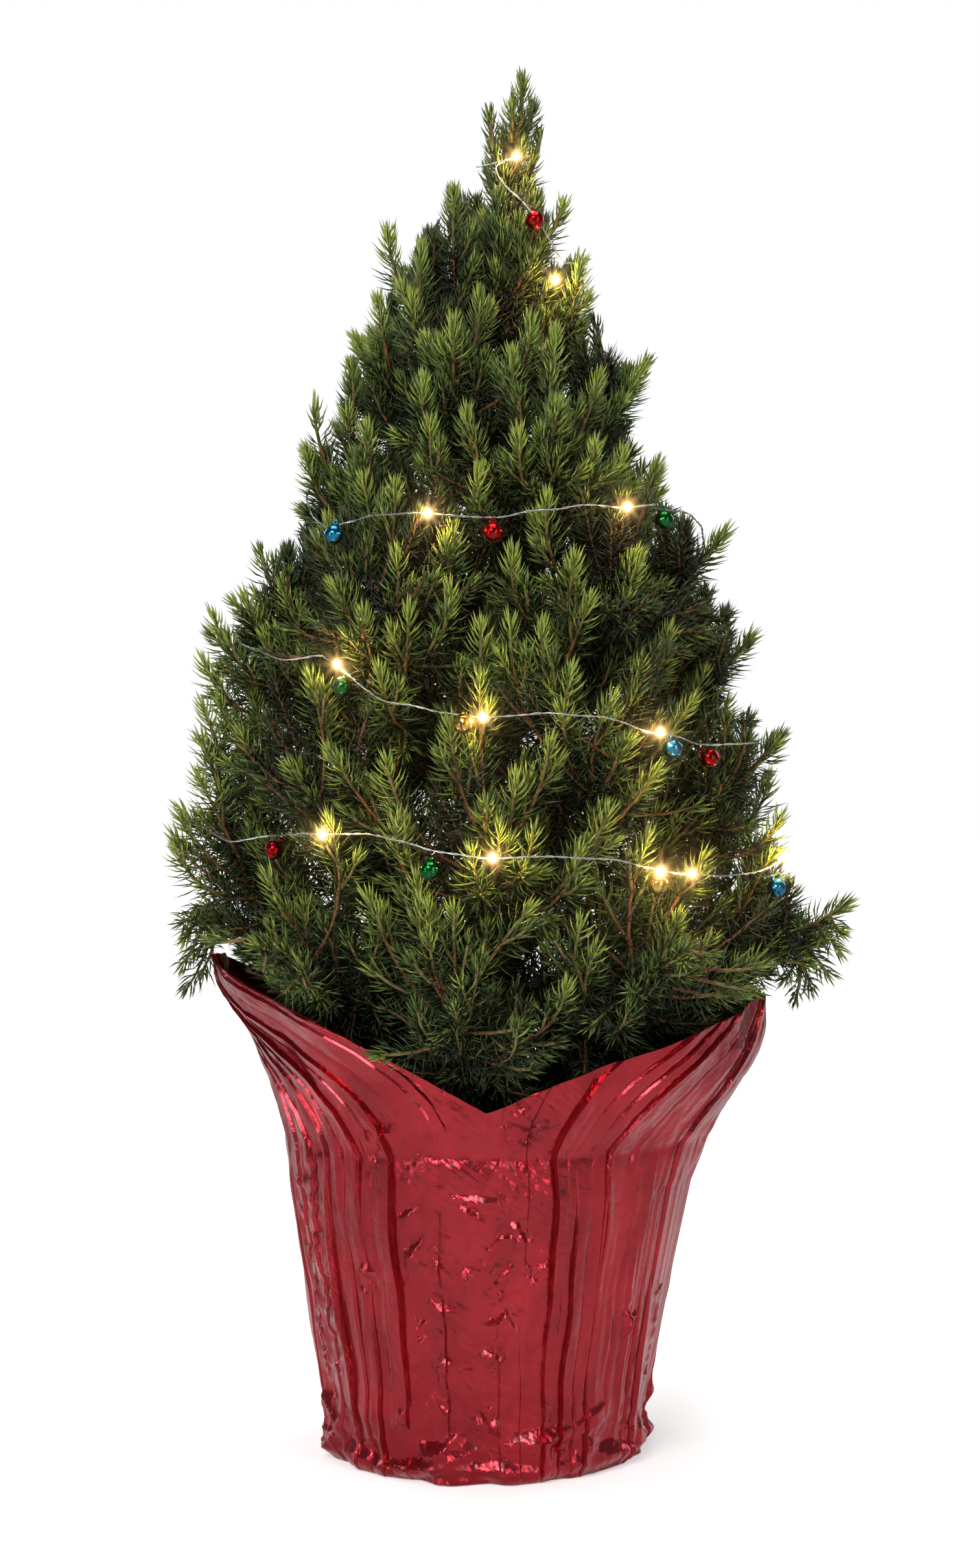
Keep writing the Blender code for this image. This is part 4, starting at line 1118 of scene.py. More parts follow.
class Needles:
    """Needles gathered by tint. Each has a foot, a direction, the way of its twig, a length and a width."""

    def __init__(self):
        self.found = {tint: [] for tint in NEEDLE_TINTS}

    def clothe(self, twig):
        """Needles round a twig by the golden angle, wide apart on old wood and brushed forward at its tip."""
        covered = twig.length * (1 - twig.bare)
        wide = float(np.interp(twig.path[-1][2], WIDE_Z, WIDE_SHARE))
        density = DENSITY_SHADE + (DENSITY_OPEN - DENSITY_SHADE) * min(1.0, 2 * twig.glow)
        density *= 1.70 - 0.76 * wide
        count = max(LEAST_NEEDLES, int(covered * density) + MORE_NEEDLES)
        back = ((np.arange(count) + 0.5) / count) ** CROWDING * covered
        run = twig.length - back
        foot = twig.at(run)
        way = unit(twig.at(np.minimum(run + 0.002, twig.length)) - twig.at(np.maximum(run - 0.002, 0)))
        first, second = sideways(way)
        turn = np.arange(count) * GOLDEN_ANGLE + rng.normal(0, 0.25, count)
        across = first * np.cos(turn)[:, None] + second * np.sin(turn)[:, None]
        age = 1 - np.exp(-(back / NEEDLE_AGES) ** 1.5)
        young = np.exp(-back / NEEDLE_YOUTH)
        tilt = NEEDLE_TILT + (TILT_WITH_AGE + TILT_WHERE_WIDE * wide) * age
        tilt = tilt + rng.normal(0, 5.0 + 3.0 * wide, count)
        tilt = np.radians(tilt + young * rng.uniform(-12, 20, count))
        length = (NEEDLE_LENGTH + LONGER_WITH_AGE * age) * rng.uniform(0.86, 1.12, count)
        length = length * (1.0 + LONGER_WHERE_WIDE * wide)
        curl = 0.75 - (0.40 + 0.24 * wide) * age
        tint = self.tint_of(back, twig)
        radius = NEEDLE_R + (TIP_NEEDLE_R - NEEDLE_R) * np.exp(-back / 0.012)
        radius = radius + 0.00003 * rng.normal(0, 1, count)
        rows = np.column_stack([foot, across, way, tilt, length, curl, radius])
        for index, name in enumerate(NEEDLE_TINTS):
            self.found[name].append(rows[tint == index])

    def tint_of(self, back, twig):
        """Young needles are light and old ones dark, with painted light and shade: lighter at a tip in the
        open, darker in the crown's shade and low in the crown.
        """
        level = np.interp(back, (0.004, 0.011, 0.020, 0.030, 0.046), (4.2, 3.5, 2.5, 1.5, 0.9))
        # Painted shade: the less light a twig takes, the darker its needles
        level = level - 2.6 * (1 - twig.glow * twig.lit) + rng.normal(0, 0.30, len(back))
        level = level + rng.normal(0, 0.30)
        return np.clip(np.round(level), 0, 4).astype(int)

    def shells(self, tint):
        """The points of one tint's needles, as an array of needles, their points and x, y, z."""
        rows = np.concatenate(self.found[tint])
        foot, across, way = rows[:, :3], rows[:, 3:6], rows[:, 6:9]
        tilt, length, curl, radius = (rows[:, k:k + 1] for k in range(9, 13))
        start = np.cos(tilt) * way + np.sin(tilt) * across
        end = unit(start + curl * way)
        middle = foot + 0.55 * length * start
        tip = middle + 0.50 * length * end
        side = unit(np.cross(start, across + 0.3 * way))
        other = np.cross(start, side)
        keep = clear_of_sleeve(tip, 0.0008, 0.0012, 0.0045) & ~hides_point(tip) & ~hides_point(middle)
        keep &= (foot[:, 2] < SPIRES_FROM) | inside_edge(0.35 * foot + 0.65 * tip)
        foot, middle, tip, side, other, radius = (v[keep] for v in (foot, middle, tip, side, other, radius))
        corners = [side * math.cos(a) + other * math.sin(a) for a in (0, 2 * math.pi / 3, 4 * math.pi / 3)]
        foot_wide, middle_wide = NEEDLE_SHELLS[tint][:2]
        points = [foot + corner * radius * foot_wide for corner in corners] if foot_wide else [foot]
        if middle_wide:
            points += [middle + corner * radius * middle_wide for corner in corners]
        return np.stack(points + [tip], 1)


def kept_to_spires(twigs):
    """The twigs, with those of the top cut off where the picture shows sky between its spires."""
    kept = []
    for twig in twigs:
        within = inside_edge(twig.path) | (twig.path[:, 2] < SPIRES_FROM)
        rows = len(within) if within.all() else int(np.argmin(within))
        if rows == len(within):
            kept.append(twig)
        elif rows > 3:
            kept.append(Twig(twig.path[:rows], twig.glow, twig.foot_r, twig.tip_r, twig.bare))
    return kept


def make_needles(twigs):
    """The needles of each tint, in pieces of no more than so many triangles."""
    needles = Needles()
    for twig in twigs:
        needles.clothe(twig)
    for tint in NEEDLE_TINTS:
        points = needles.shells(tint)
        quads, tris = NEEDLE_SHELLS[tint][2:]
        count, each = points.shape[:2]
        parts = math.ceil((2 * len(quads) + len(tris)) * count / MOST_TRIANGLES)
        material = needle_material(tint)
        for part in range(parts):
            low, high = count * part // parts, count * (part + 1) // parts
            firsts = np.arange(high - low)[:, None, None] * each
            heap = Heap()
            heap.add(points[low:high].reshape(-1, 3), (firsts + np.reshape(quads, (-1, 4))).reshape(-1, 4),
                     (firsts + np.array(tris)).reshape(-1, 3))
            made = heap.piece(f"needles_{tint}_{part + 1}", material)
            if tint == "deep" and part == 0:
                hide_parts(*FOLIAGE)


def make_twigs(twigs):
    """Old wood, orange-brown younger wood and the pale young skin near the tips, as three pieces."""
    old, young, pale = Heap(), Heap(), Heap()
    for twig in twigs:
        # Painted shade: twigs in the crown's shade are old, and their skin is painted darker as well: old
        # wood all along for the darkest, and orange skin in place of the pale one for dim ones
        if twig.glow <= SHADE_GLOW:
            twig.draw(old, 0, twig.length, 4, 3)
            continue
        cut = max(0.0, twig.length - FRESH_LENGTH)
        thick, dim = twig.foot_r > OLD_WOOD_R, twig.glow < DIM_GLOW
        sides = 6 if thick else 4
        if cut > 0.006:
            twig.draw(old if thick or dim else young, 0, cut + 0.0008, max(3, int(cut / 0.012) + 2), sides)
        twig.draw(young if dim else pale, cut, twig.length, 3, sides, 0.98)
    for name, heap, bark in (("twigs_old", old, "twig_skin_old"), ("twigs_young", young, "twig_skin_orange"),
                             ("twigs_fresh", pale, "twig_skin_pale")):
        made = heap.piece(name, bark_material(bark))


# The trunk, boughs, soil and pot

def bark_relief(points_z, sides, seed, depth):
    """Shares of the radius for a tube's skin: ridges that run along it, broken by scales."""
    relief = np.ones((len(points_z), sides))
    for i, z in enumerate(points_z):
        for j in range(sides):
            turn = 2 * math.pi * j / sides
            place = Vector((2.2 * math.cos(turn), 2.2 * math.sin(turn), z * 70 + seed))
            relief[i, j] += depth * noise.fractal(place, 1.0, 2.0, 3)
    return relief


# How finely the trunk, the boughs and the pot are cut, and how rough the bark is
TRUNK_SIDES = 26
TRUNK_RINGS = 230
TRUNK_SUNK = 0.0040
TRUNK_RELIEF = 0.16
BOUGH_SIDES = 12
BOUGH_RINGS = 26
BOUGH_BARE = 0.46
BOUGH_RELIEF = 0.18
POT_SIDES = 120


def make_trunk():
    heap = Heap()
    levels = np.linspace(SOIL_Z - TRUNK_SUNK, TRUNK_TOP_Z, TRUNK_RINGS)
    path = [tuple(trunk_centre(z)) for z in levels]
    radii = [trunk_radius(max(z, SOIL_Z)) for z in levels]
    tube(heap, path, radii, TRUNK_SIDES, bark_relief(levels, TRUNK_SIDES, 3.0, TRUNK_RELIEF))
    made = heap.piece("trunk_bark", bark_material("bark_trunk", 300.0, 0.0006))
    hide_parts("trunk")


def make_boughs(limbs):
    heap = Heap()
    for number, limb in enumerate(limbs):
        if not limb.long:
            continue
        ts = np.linspace(0.02, BOUGH_BARE, BOUGH_RINGS)
        path = [tuple(limb.at(t)) for t in ts]
        radii = BOUGH_R * (1.02 - 0.42 * (ts / BOUGH_BARE))
        tube(heap, path, radii, BOUGH_SIDES, bark_relief(ts * 0.2, BOUGH_SIDES, 10.0 * number, BOUGH_RELIEF))
    made = heap.piece("bough_bark", bark_material("bark_bough", 360.0, 0.0004))
    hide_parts(*BOUGHS)


def make_pot():
    heap = Heap()
    floor = FILM + 0.0003
    band = POT_RIM_Z - POT_RIM_BAND
    band_foot_r = POT_FOOT_R + (POT_RIM_R - POT_RIM_STEP - POT_FOOT_R) * band / POT_RIM_Z
    inside_top = POT_RIM_R - POT_RIM_STEP - POT_WALL
    profile = [(0, floor), (POT_FOOT_R - 0.001, floor), (POT_FOOT_R, floor + 0.001), (band_foot_r, band),
               (POT_RIM_R - 0.0003, band + 0.0004), (POT_RIM_R, band + 0.0012),
               (POT_RIM_R, POT_RIM_Z - 0.0009), (POT_RIM_R - 0.0003, POT_RIM_Z - 0.0002),
               (POT_RIM_R - 0.0010, POT_RIM_Z),
               (inside_top + 0.0003, POT_RIM_Z), (inside_top, POT_RIM_Z - 0.0005),
               (POT_FOOT_R - POT_WALL, floor + 2 * POT_WALL), (0, floor + 2 * POT_WALL)]
    lathe(heap, profile, POT_SIDES)
    made = heap.piece("pot_shell", pot_material(), sharp=40)
    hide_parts("pot")


# The potting mix, its crumbs and its specks
SOIL_REACH = POT_RIM_R - POT_RIM_STEP - POT_WALL - 0.0024
SOIL_SIDES = 110
SOIL_RINGS = 34
SOIL_ROUGH = 0.0016
SOIL_SUNK = 0.0012
CRUMBS = 420
CRUMBS_PER_SPECK = 14


def make_soil():
    """Potting mix as a rough disc that fills the pot."""
    low = FILM + 0.0006 + 2 * POT_WALL
    rings = [circle(POT_FOOT_R - POT_WALL - 0.0006, low, SOIL_SIDES)]
    for i in range(SOIL_RINGS):
        radius = SOIL_REACH * (1 - i / SOIL_RINGS) ** 0.9
        ring = circle(radius, SOIL_Z - SOIL_DOME * (radius / SOIL_REACH) ** 2 - SOIL_SUNK, SOIL_SIDES)
        for point in ring:
            point[2] += SOIL_ROUGH * noise.fractal(Vector((point[0] * 140, point[1] * 140, 2.0)), 0.8, 2.1, 4)
        rings.append(ring)
    heap = Heap()
    skin(heap, np.array(rings), (0, 0, low), (0, 0, SOIL_Z - SOIL_SUNK))
    made = heap.piece("potting_mix", soil_material("soil_damp"))
    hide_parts("soil")


def make_crumbs():
    """Bark crumbs and a few white specks on the potting mix."""
    crumbs, specks = Heap(), Heap()
    for number in range(CRUMBS):
        turn, out = rng.uniform(0, 2 * math.pi), SOIL_REACH * 0.95 * math.sqrt(rng.uniform(0.02, 1))
        white = number % CRUMBS_PER_SPECK == 0
        size = rng.uniform(0.0009, 0.0018) if white else rng.uniform(0.0009, 0.0034)
        centre = np.array([out * math.cos(turn), out * math.sin(turn),
                           SOIL_Z - SOIL_DOME * (out / SOIL_REACH) ** 2 - 0.0008 + 0.3 * size])
        crumb(specks if white else crumbs, centre, size, flat=0.8 if white else 0.45)
    made = crumbs.piece("bark_crumbs", soil_material("soil_crumbs"), sharp=30)
    made = specks.piece("white_specks", soil_material("soil_specks"))


def crumb(heap, centre, size, flat):
    """A small uneven closed lump."""
    points = []
    for sign in (-1, 1):
        for k in range(6):
            turn = math.pi * k / 3 + rng.uniform(-0.3, 0.3)
            wide = size * rng.uniform(0.7, 1.1)
            points.append((wide * math.cos(turn), 0.6 * wide * math.sin(turn), sign * size * flat * 0.4))
    points += [(0, 0, -size * flat * 0.6), (0, 0, size * flat * 0.6)]
    spin = Quaternion((0, 0, 1), rng.uniform(0, 6.28)) @ Quaternion((1, 0, 0), rng.uniform(-0.6, 0.6))
    points = np.array([tuple(spin @ Vector(p)) for p in points]) + centre
    skin(heap, points[:12].reshape(2, 6, 3), points[12], points[13])


# The foil sleeve

# Folded edges on the front, by degrees right of the middle: depth in mm, and the side that the lip faces
FOLDS = (
    (-79, 1.4, 1), (-73, 2.2, -1), (-66, 1.4, 1), (-59, 1.8, 1), (-51, 2.6, 1), (-44, 1.4, 1),
    (-38, 2.0, 1), (-32, 1.2, 1), (-27, 2.6, 1), (-13, 1.0, 1), (4, 0.7, -1), (11, 0.9, 1),
    (19.5, 2.6, -1), (23, 1.2, -1), (26, 2.2, -1), (31, 1.3, -1), (36, 1.9, -1), (44, 1.2, 1),
    (51.6, 2.0, 1), (57, 1.0, -1), (62, 2.2, -1), (71, 1.5, 1), (80, 2.2, 1),
)
# The grid of the film, finer in front, and how it stands off the rule's radius
FRONT_COLUMNS = 380
BACK_COLUMNS = 140
SLEEVE_COLUMNS = FRONT_COLUMNS + BACK_COLUMNS
FRONT_SPAN = 104.0
SLEEVE_SKIN = 0.0003
SLEEVE_REST = 0.0010
FOLD_LIP = 1.1
MEAN_R = 0.0760

# Pleats lean out towards the two points above the rim
FAN = {"left": 1.15, "right": 0.78}
FAN_FROM = 0.1300
FAN_RISE = 0.0480

# The film's outline by height at the left and the right, as the picture shows it, and how much is pleats
SIDE_LEFT = (
    (0.010, 0.0660), (0.0147, 0.0690), (0.080, 0.0790), (0.138, 0.0877), (0.160, 0.0939),
    (0.180, 0.1023), (0.197, 0.1149), (0.205, 0.1185),
)
SIDE_RIGHT = ((0.012, 0.0672), (0.0231, 0.0700), (0.0708, 0.0771), (0.0932, 0.0804), (0.1097, 0.0843),
              (0.1251, 0.0906), (0.1456, 0.1004), (0.1596, 0.1095), (0.1758, 0.1182), (0.196, 0.1190))
SIDE_PLEATS = 0.0022
PRESSED_LINES = 230


def all_folds():
    """The named folds in front, and folds by a seeded rule round the sides and back."""
    own = np.random.default_rng(SEED + 5)
    folds = list(FOLDS)
    place = 88.0
    while place < 276:
        folds.append((place, own.uniform(0.8, 2.8), own.choice([-1, 1])))
        place += own.uniform(5.0, 13)
    return folds


def apart(turns, place):
    """Degrees from a place to turns, between -180 and 180."""
    return (turns - place + 180) % 360 - 180


def pleat_ways(pleats, levels):
    """Where each pleat's line, named by its degrees right of the front at the rim, stands at each level."""
    sign = np.where(np.sin(np.radians(pleats)) >= 0, 1, -1)
    from_middle = 1 - np.abs(np.abs(apart(pleats, 0)) - 90) / 90
    risen = np.maximum(0.0, levels - FAN_FROM) / FAN_RISE
    lean = np.where(sign < 0, FAN["left"], FAN["right"]) * risen ** 2
    swung = 90 * from_middle / (from_middle + (1 - from_middle) * np.exp(-lean))
    turns = sign * np.where(np.cos(np.radians(pleats)) > 0, swung, 180 - swung)
    around = np.radians(pleats)
    return turns + (0.55 * np.sin(62 * levels + 2 * np.sin(3 * around))
                    + 0.30 * np.sin(150 * levels + 5 * np.sin(2 * around)))


def pleat_height(pleats, levels):
    """How far the folds stand off along each pleat line, with fine pressed lines between them."""
    own = np.random.default_rng(SEED + 15)
    height, groove, lines = (np.zeros(levels.shape) for _ in range(3))
    for number, (place, depth, facing) in enumerate(all_folds()):
        ramp_width = 4.5 + 3.0 * depth
        deep = depth * (0.80 + 0.30 * np.sin(38 * levels + 1.3 * number))
        past = apart(pleats, place) * facing
        height = np.maximum(height, deep * np.clip(1 + past / ramp_width, 0, 1) ** 1.6 * (past <= 0))
        groove = np.maximum(groove, 0.34 * deep * np.clip(1 - past / FOLD_LIP, 0, 1) * (past > 0))
    for _ in range(PRESSED_LINES):
        place, middle, half = own.uniform(-180, 180), own.uniform(0.02, 0.19), own.uniform(0.012, 0.045)
        size = own.uniform(0.25, 0.85) * own.choice([-1, 1]) * (0.6 if abs(place + 2) < 20 else 1)
        lines += (size * np.exp(-np.abs(apart(pleats, place)) / own.uniform(0.7, 1.5))
                  * np.clip(1 - ((levels - middle) / half) ** 2, 0, 1))
    return (height - groove + lines) / 1000


def side_bulge(turns, levels, radius):
    """How far the film stands off the rule's radius at its sides, where the picture shows its outline."""
    across = np.sin(np.radians(turns))
    wanted = np.where(across < 0, np.interp(levels, *zip(*SIDE_LEFT)), np.interp(levels, *zip(*SIDE_RIGHT)))
    share = np.clip((np.abs(across) - 0.45) / 0.55, 0, 1) ** 1.5
    return share * np.maximum(0.0, wanted - SIDE_PLEATS - radius)


# Points that wrinkles run out from: degrees right of the middle, height, first and last way, count and length
STARS = (
    (9.9, 0.1053, -180, 180, 13, 0.0085), (6.0, 0.0738, -180, 180, 15, 0.0110),
    (-17, 0.0475, -180, 180, 9, 0.0070), (0.7, 0.0247, -180, 180, 12, 0.0120),
    (-38, 0.0843, -180, 180, 10, 0.0090), (-12.3, 0.1210, 95, 172, 17, 0.0260),
    (11.5, 0.1480, -180, 180, 12, 0.0120), (15, 0.0900, -180, 180, 9, 0.0070),
    (2, 0.0560, -180, 180, 8, 0.0070), (-6, 0.0900, 100, 170, 8, 0.0140),
    (-30, 0.1450, -180, 180, 9, 0.0120), (52, 0.0640, -180, 180, 8, 0.0100),
    (112, 0.0800, -180, 180, 10, 0.0100), (163, 0.0600, -180, 180, 12, 0.0120),
    (214, 0.0900, -180, 180, 12, 0.0120), (185, 0.1120, -180, 180, 10, 0.0100),
    (140, 0.0300, -180, 180, 9, 0.0080), (240, 0.0400, -180, 180, 9, 0.0090),
)
# Panels of short slanting wrinkles: degrees right of the middle, half width, lowest, highest and slant
RIPPLED = ((-21, 4.5, 0.022, 0.120, 52), (-14, 3.0, 0.030, 0.100, -48), (-58, 5.0, 0.040, 0.130, 65),
           (-67, 4.0, 0.030, 0.120, -60), (4, 6.0, 0.050, 0.112, 38), (70, 5.0, 0.030, 0.100, 58))

# Loose creases: how many, their heights as a range or as a mean and its scatter, the tilt from upright and
# its scatter, and the ranges of half length, width and height
LOOSE_CREASES = (
    (80, "uniform", (0.002, 0.020), (90, 26), (0.004, 0.018), (0.0014, 0.0024), (0.0005, 0.0013)),
    (50, "uniform", (0.012, 0.032), (0, 30), (0.004, 0.012), (0.0010, 0.0018), (0.0004, 0.0010)),
    (78, "uniform", (0.004, 0.026), (84, 26), (0.008, 0.022), (0.0028, 0.0052), (0.0014, 0.0030)),
    (60, "normal", (0.134, 0.006), (0, 40), (0.003, 0.012), (0.0010, 0.0020), (0.0003, 0.0009)),
)
# Where the film kicks out at its foot: degrees right of the middle, width and depth
KICKS = (
    (-13, 8, 0.0036), (7, 6, 0.0030), (-38, 4, 0.0016), (34, 5, 0.0014), (100, 9, 0.0024),
    (165, 8, 0.0030), (228, 9, 0.0026),
)
# Heights of the film's rings in the cup, and their shares of the way up the skirt
CUP_LEVELS = np.concatenate([[0.0005, 0.0014, 0.0024, 0.0034, 0.0045, 0.0056, 0.0068, 0.0080, 0.0093, 0.0106],
                             np.linspace(0.0119, SLEEVE_RIM_Z, 92)])
SKIRT_SHARES = np.linspace(0, 1, 42)[1:]
INSIDE_FROM = 12
FILM_SHOWN = 0.00035


def creases():
    """Sharp pressed lines in the film: place, tilt from upright, half length, width and height of each."""
    own = np.random.default_rng(SEED + 9)
    found = []

    def add(turn, z, tilt, length, width, height):
        found.append((turn, z, math.radians(tilt), length, width, height * own.choice([-1, 1])))

    for heart, level, first, last, count, reach in STARS:
        for k in range(count):
            way = math.radians(first + (last - first) * (k + 0.5) / count + own.normal(0, 5))
            size = reach * own.uniform(0.45, 1.0)
            add(heart + math.degrees(0.5 * size * math.sin(way) / MEAN_R), level + 0.5 * size * math.cos(way),
                math.degrees(way), 0.55 * size, own.uniform(0.0013, 0.0019), own.uniform(0.0010, 0.0019))
    for middle, half, low, high, slant in RIPPLED:
        for level in np.arange(low, high, 0.0029):
            add(middle + half * own.uniform(-0.4, 0.4), level, slant + own.normal(0, 9),
                own.uniform(0.004, 0.008), own.uniform(0.0012, 0.0017), own.uniform(0.0007, 0.0013))
    for count, kind, levels, tilts, lengths, widths, heights in LOOSE_CREASES:
        level = own.uniform if kind == "uniform" else own.normal
        for _ in range(count):
            add(own.uniform(-180, 180), level(*levels), own.normal(*tilts), own.uniform(*lengths),
                own.uniform(*widths), own.uniform(*heights))
    return found


def crease_height(turns, levels):
    """The height of all creases over a grid of turns in degrees and levels in metres."""
    total = np.zeros(levels.shape)
    for turn, z, tilt, length, width, height in creases():
        across = np.radians(apart(turns, turn)) * MEAN_R
        rise = levels - z
        along = across * math.sin(tilt) + rise * math.cos(tilt)
        off = across * math.cos(tilt) - rise * math.sin(tilt)
        total += height * np.exp(-np.abs(off) / width) * np.clip(1 - (along / length) ** 2, 0, 1)
    return total


def wave(x, y, z):
    return noise.noise(Vector((x, y, z)))


def clamped(value):
    return min(1.0, max(0.0, value))


def crumple(azimuth, turn, z, radius, share):
    """The film's soft unevenness at a point: waves, facets, gathers at the foot and swags in the skirt."""
    x, y = radius * math.cos(azimuth), radius * math.sin(azimuth)
    height = 0.00050 * wave(x * 60, y * 60, z * 9)
    busy = clamped(0.50 + 1.8 * wave(x * 27 + 3, y * 27, z * 21))
    bunched = clamped((abs(turn + 4) - 20) / 10) if abs(turn) < FRONT_SPAN else 0.6
    for scale, size, sign in ((80, 0.00200, 1), (160, 0.00095, -1)):
        bend = abs(wave(x * scale, y * scale + sign * 7, z * scale * 0.62))
        upright = abs(wave(x * scale * 1.4, y * scale * 1.4 + sign * 3, z * scale * 0.10))
        height += size * (0.25 + 0.75 * busy) * sign * (1 - bunched) * (bend - 0.18)
        height += 0.55 * size * sign * bunched * (upright - 0.18)
    folded = abs(wave(x * 34, y * 34, z * 105 + 2))
    height += math.exp(-z / 0.014) * (0.0004 + 0.0068 * (folded - 0.12))
    for place, width, size in KICKS:
        height += size * math.exp(-(apart(turn, place) / width) ** 2) * clamped((0.0215 - z) / 0.0125)
    if z < 0.012:
        height -= 0.0014 * max(0.0, 1 - z / 0.003)
        height += 0.0011 * math.exp(-((z - 0.0060) / 0.0025) ** 2)
    if share < 0.2:
        height -= 0.0004 * math.exp(-((z - SLEEVE_RIM_Z) / 0.0030) ** 2)
    if share > 0:
        around = math.radians(turn)
        sway = 0.0012 * math.sin(around * 9 + 0.6) + 0.0009 * math.sin(around * 17 + 2.0)
        height += share * (sway + 0.0004) + 0.0006 * share * wave(x * 90, y * 90, z * 60)
    return height


def film_grid():
    """The pleat lines in degrees, each ring's height at each of them, and its share of the skirt."""
    ahead = np.linspace(-FRONT_SPAN, FRONT_SPAN, FRONT_COLUMNS, endpoint=False)
    behind = np.linspace(FRONT_SPAN, 360 - FRONT_SPAN, BACK_COLUMNS, endpoint=False)
    lines = np.concatenate([ahead, behind])
    ragged = np.array([0.0011 * wave(7 * math.cos(a), 7 * math.sin(a), 1.5) for a in np.radians(lines)])
    top = np.full(SLEEVE_COLUMNS, SLEEVE_RIM_Z + 0.02)
    for _ in range(80):
        top += 0.4 * (sleeve_edge(np.radians(pleat_ways(lines, top) - 90))[1] + ragged - top)
    levels = np.concatenate([np.repeat(CUP_LEVELS[:, None], SLEEVE_COLUMNS, 1),
                             SLEEVE_RIM_Z + (top - SLEEVE_RIM_Z)[None] * SKIRT_SHARES[:, None]])
    return lines, levels, np.concatenate([np.zeros(len(CUP_LEVELS)), SKIRT_SHARES])[:, None]


def film_outside():
    """The outside of the film, ring by ring from its foot."""
    lines, levels, shares = film_grid()
    grid = pleat_ways(lines[None], levels)
    azimuths = np.radians(grid - 90)
    radius = sleeve_radius(azimuths, levels)
    radius = radius + side_bulge(grid, levels, radius)
    deep = np.where(shares > 0, 1 + 0.20 * shares, np.minimum(1.0, 0.30 + levels / 0.012))
    squeezed = np.clip(np.gradient(grid, axis=1) / np.gradient(lines)[None], 0.25, 1.0)
    pleated = pleat_height(lines[None], levels) * deep + crease_height(grid, levels)
    pleated = pleated * squeezed + SLEEVE_REST
    soft = np.vectorize(crumple, otypes=[float])(azimuths, grid, levels, radius, shares)
    least = np.where(shares > 0.1, -0.0020, SLEEVE_SKIN)
    radius = radius + np.maximum(least, pleated + soft - 0.0016 * shares)
    return np.stack([radius * np.cos(azimuths), radius * np.sin(azimuths), levels], 2)


def make_sleeve():
    """Pleated and crumpled film over the pot: a cup, a crease at its rim and a skirt with two points."""
    outer = film_outside()
    under = [outer[0] * (share, share, 0.0) for share in (0.30, 0.75, 0.985)]
    first_inner = len(CUP_LEVELS) - INSIDE_FROM
    inner = []
    for ring in outer[:first_inner:-2]:
        radial = np.linalg.norm(ring[:, :2], axis=1, keepdims=True)
        inner.append(np.concatenate([ring[:, :2] * (radial - FILM_SHOWN) / radial, ring[:, 2:]], 1))
    closing = outer[first_inner] * (0.993, 0.993, 1.0)
    floor_in = closing * (POT_FOOT_R + 0.0004) / np.linalg.norm(closing[:, :2], axis=1, keepdims=True)
    floor_in[:, 2] = FILM
    heap = Heap()
    skin(heap, np.array([*under, *outer, *inner, closing, floor_in]), (0, 0, 0), (0, 0, FILM))
    made = heap.piece("foil_wrap", foil_material(), sharp=34)
    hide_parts("foil_sleeve")


# Lights, wire and bells

# The wire's path where the picture shows it, by pixel
WIRE_TOP = (
    (735, 258), (760, 254), (797, 243), (770, 252), (768, 270), (784, 292), (803, 308), (824, 334),
    (846, 366), (868, 404),
)
WIRE_ROWS = (
    ((515, 812), (560, 798), (610, 793), (660, 792), (715, 798), (770, 797), (820, 789), (870, 785),
     (920, 780), (968, 782), (1010, 780)),
    ((492, 1012), (520, 1026), (548, 1052), (590, 1080), (640, 1090), (690, 1101), (745, 1107), (800, 1104),
     (850, 1102), (920, 1105), (965, 1117), (1000, 1130), (1037, 1135), (1070, 1146), (1100, 1150)),
    ((420, 1290), (460, 1287), (497, 1288), (540, 1287), (580, 1290), (625, 1300), (665, 1312), (715, 1320),
     (760, 1325), (850, 1322), (960, 1330), (1030, 1345), (1100, 1352), (1170, 1345), (1210, 1325)),
)
LIGHTS = (
    (797, 241), (857, 432), (660, 792), (968, 782), (520, 1025), (745, 1107), (1019, 1130), (497, 1288),
    (760, 1324), (1068, 1348), (1020, 1344), (1212, 1322),
)
BELLS = (
    ("red", 825, 340), ("red", 760, 822), ("blue", 515, 825), ("green", 1025, 803),
    ("green", 528, 1060), ("gold", 715, 1117), ("blue", 1038, 1155), ("red", 1095, 1170),
    ("red", 422, 1312), ("green", 663, 1343), ("gold", 1015, 1365), ("blue", 1198, 1370),
)
# Sizes of the wire, the bells and the lamps
STRAND_R = 0.00024
STRAND_OFF = 0.00026
STRAND_TWIST = 0.0054
WIRE_STEP = 0.0018
WIRE_WOBBLE = 0.0008
LIGHT_SPACING = 0.105
BACK_LIGHTS_FROM = 0.180
BACK_BELLS_FROM = 0.165
BACK_BELL_COLOURS = ("blue", "red", "gold", "green")
IN_FRONT = 0.0100
BEHIND = 0.0120
BELL_BELOW_PX = 22
BELL_SWING = 0.0060
BELL_OUT = 0.0042
BELL_R = 0.0040
BELL_PROFILE = 18
LOOP_R = 0.0011
LAMP_POWER = 0.050
LAMP_COLOUR = (1.0, 0.60, 0.17)
LAMP_R = 0.0022
LAMP_OUT = 0.0042
# One lit drop, as radius and height from its foot to its top
DROP = (
    (0, -0.0017), (0.0008, -0.0014), (0.0012, -0.0006), (0.0012, 0.0002), (0.0009, 0.0011),
    (0.0004, 0.0016), (0, 0.0018),
)


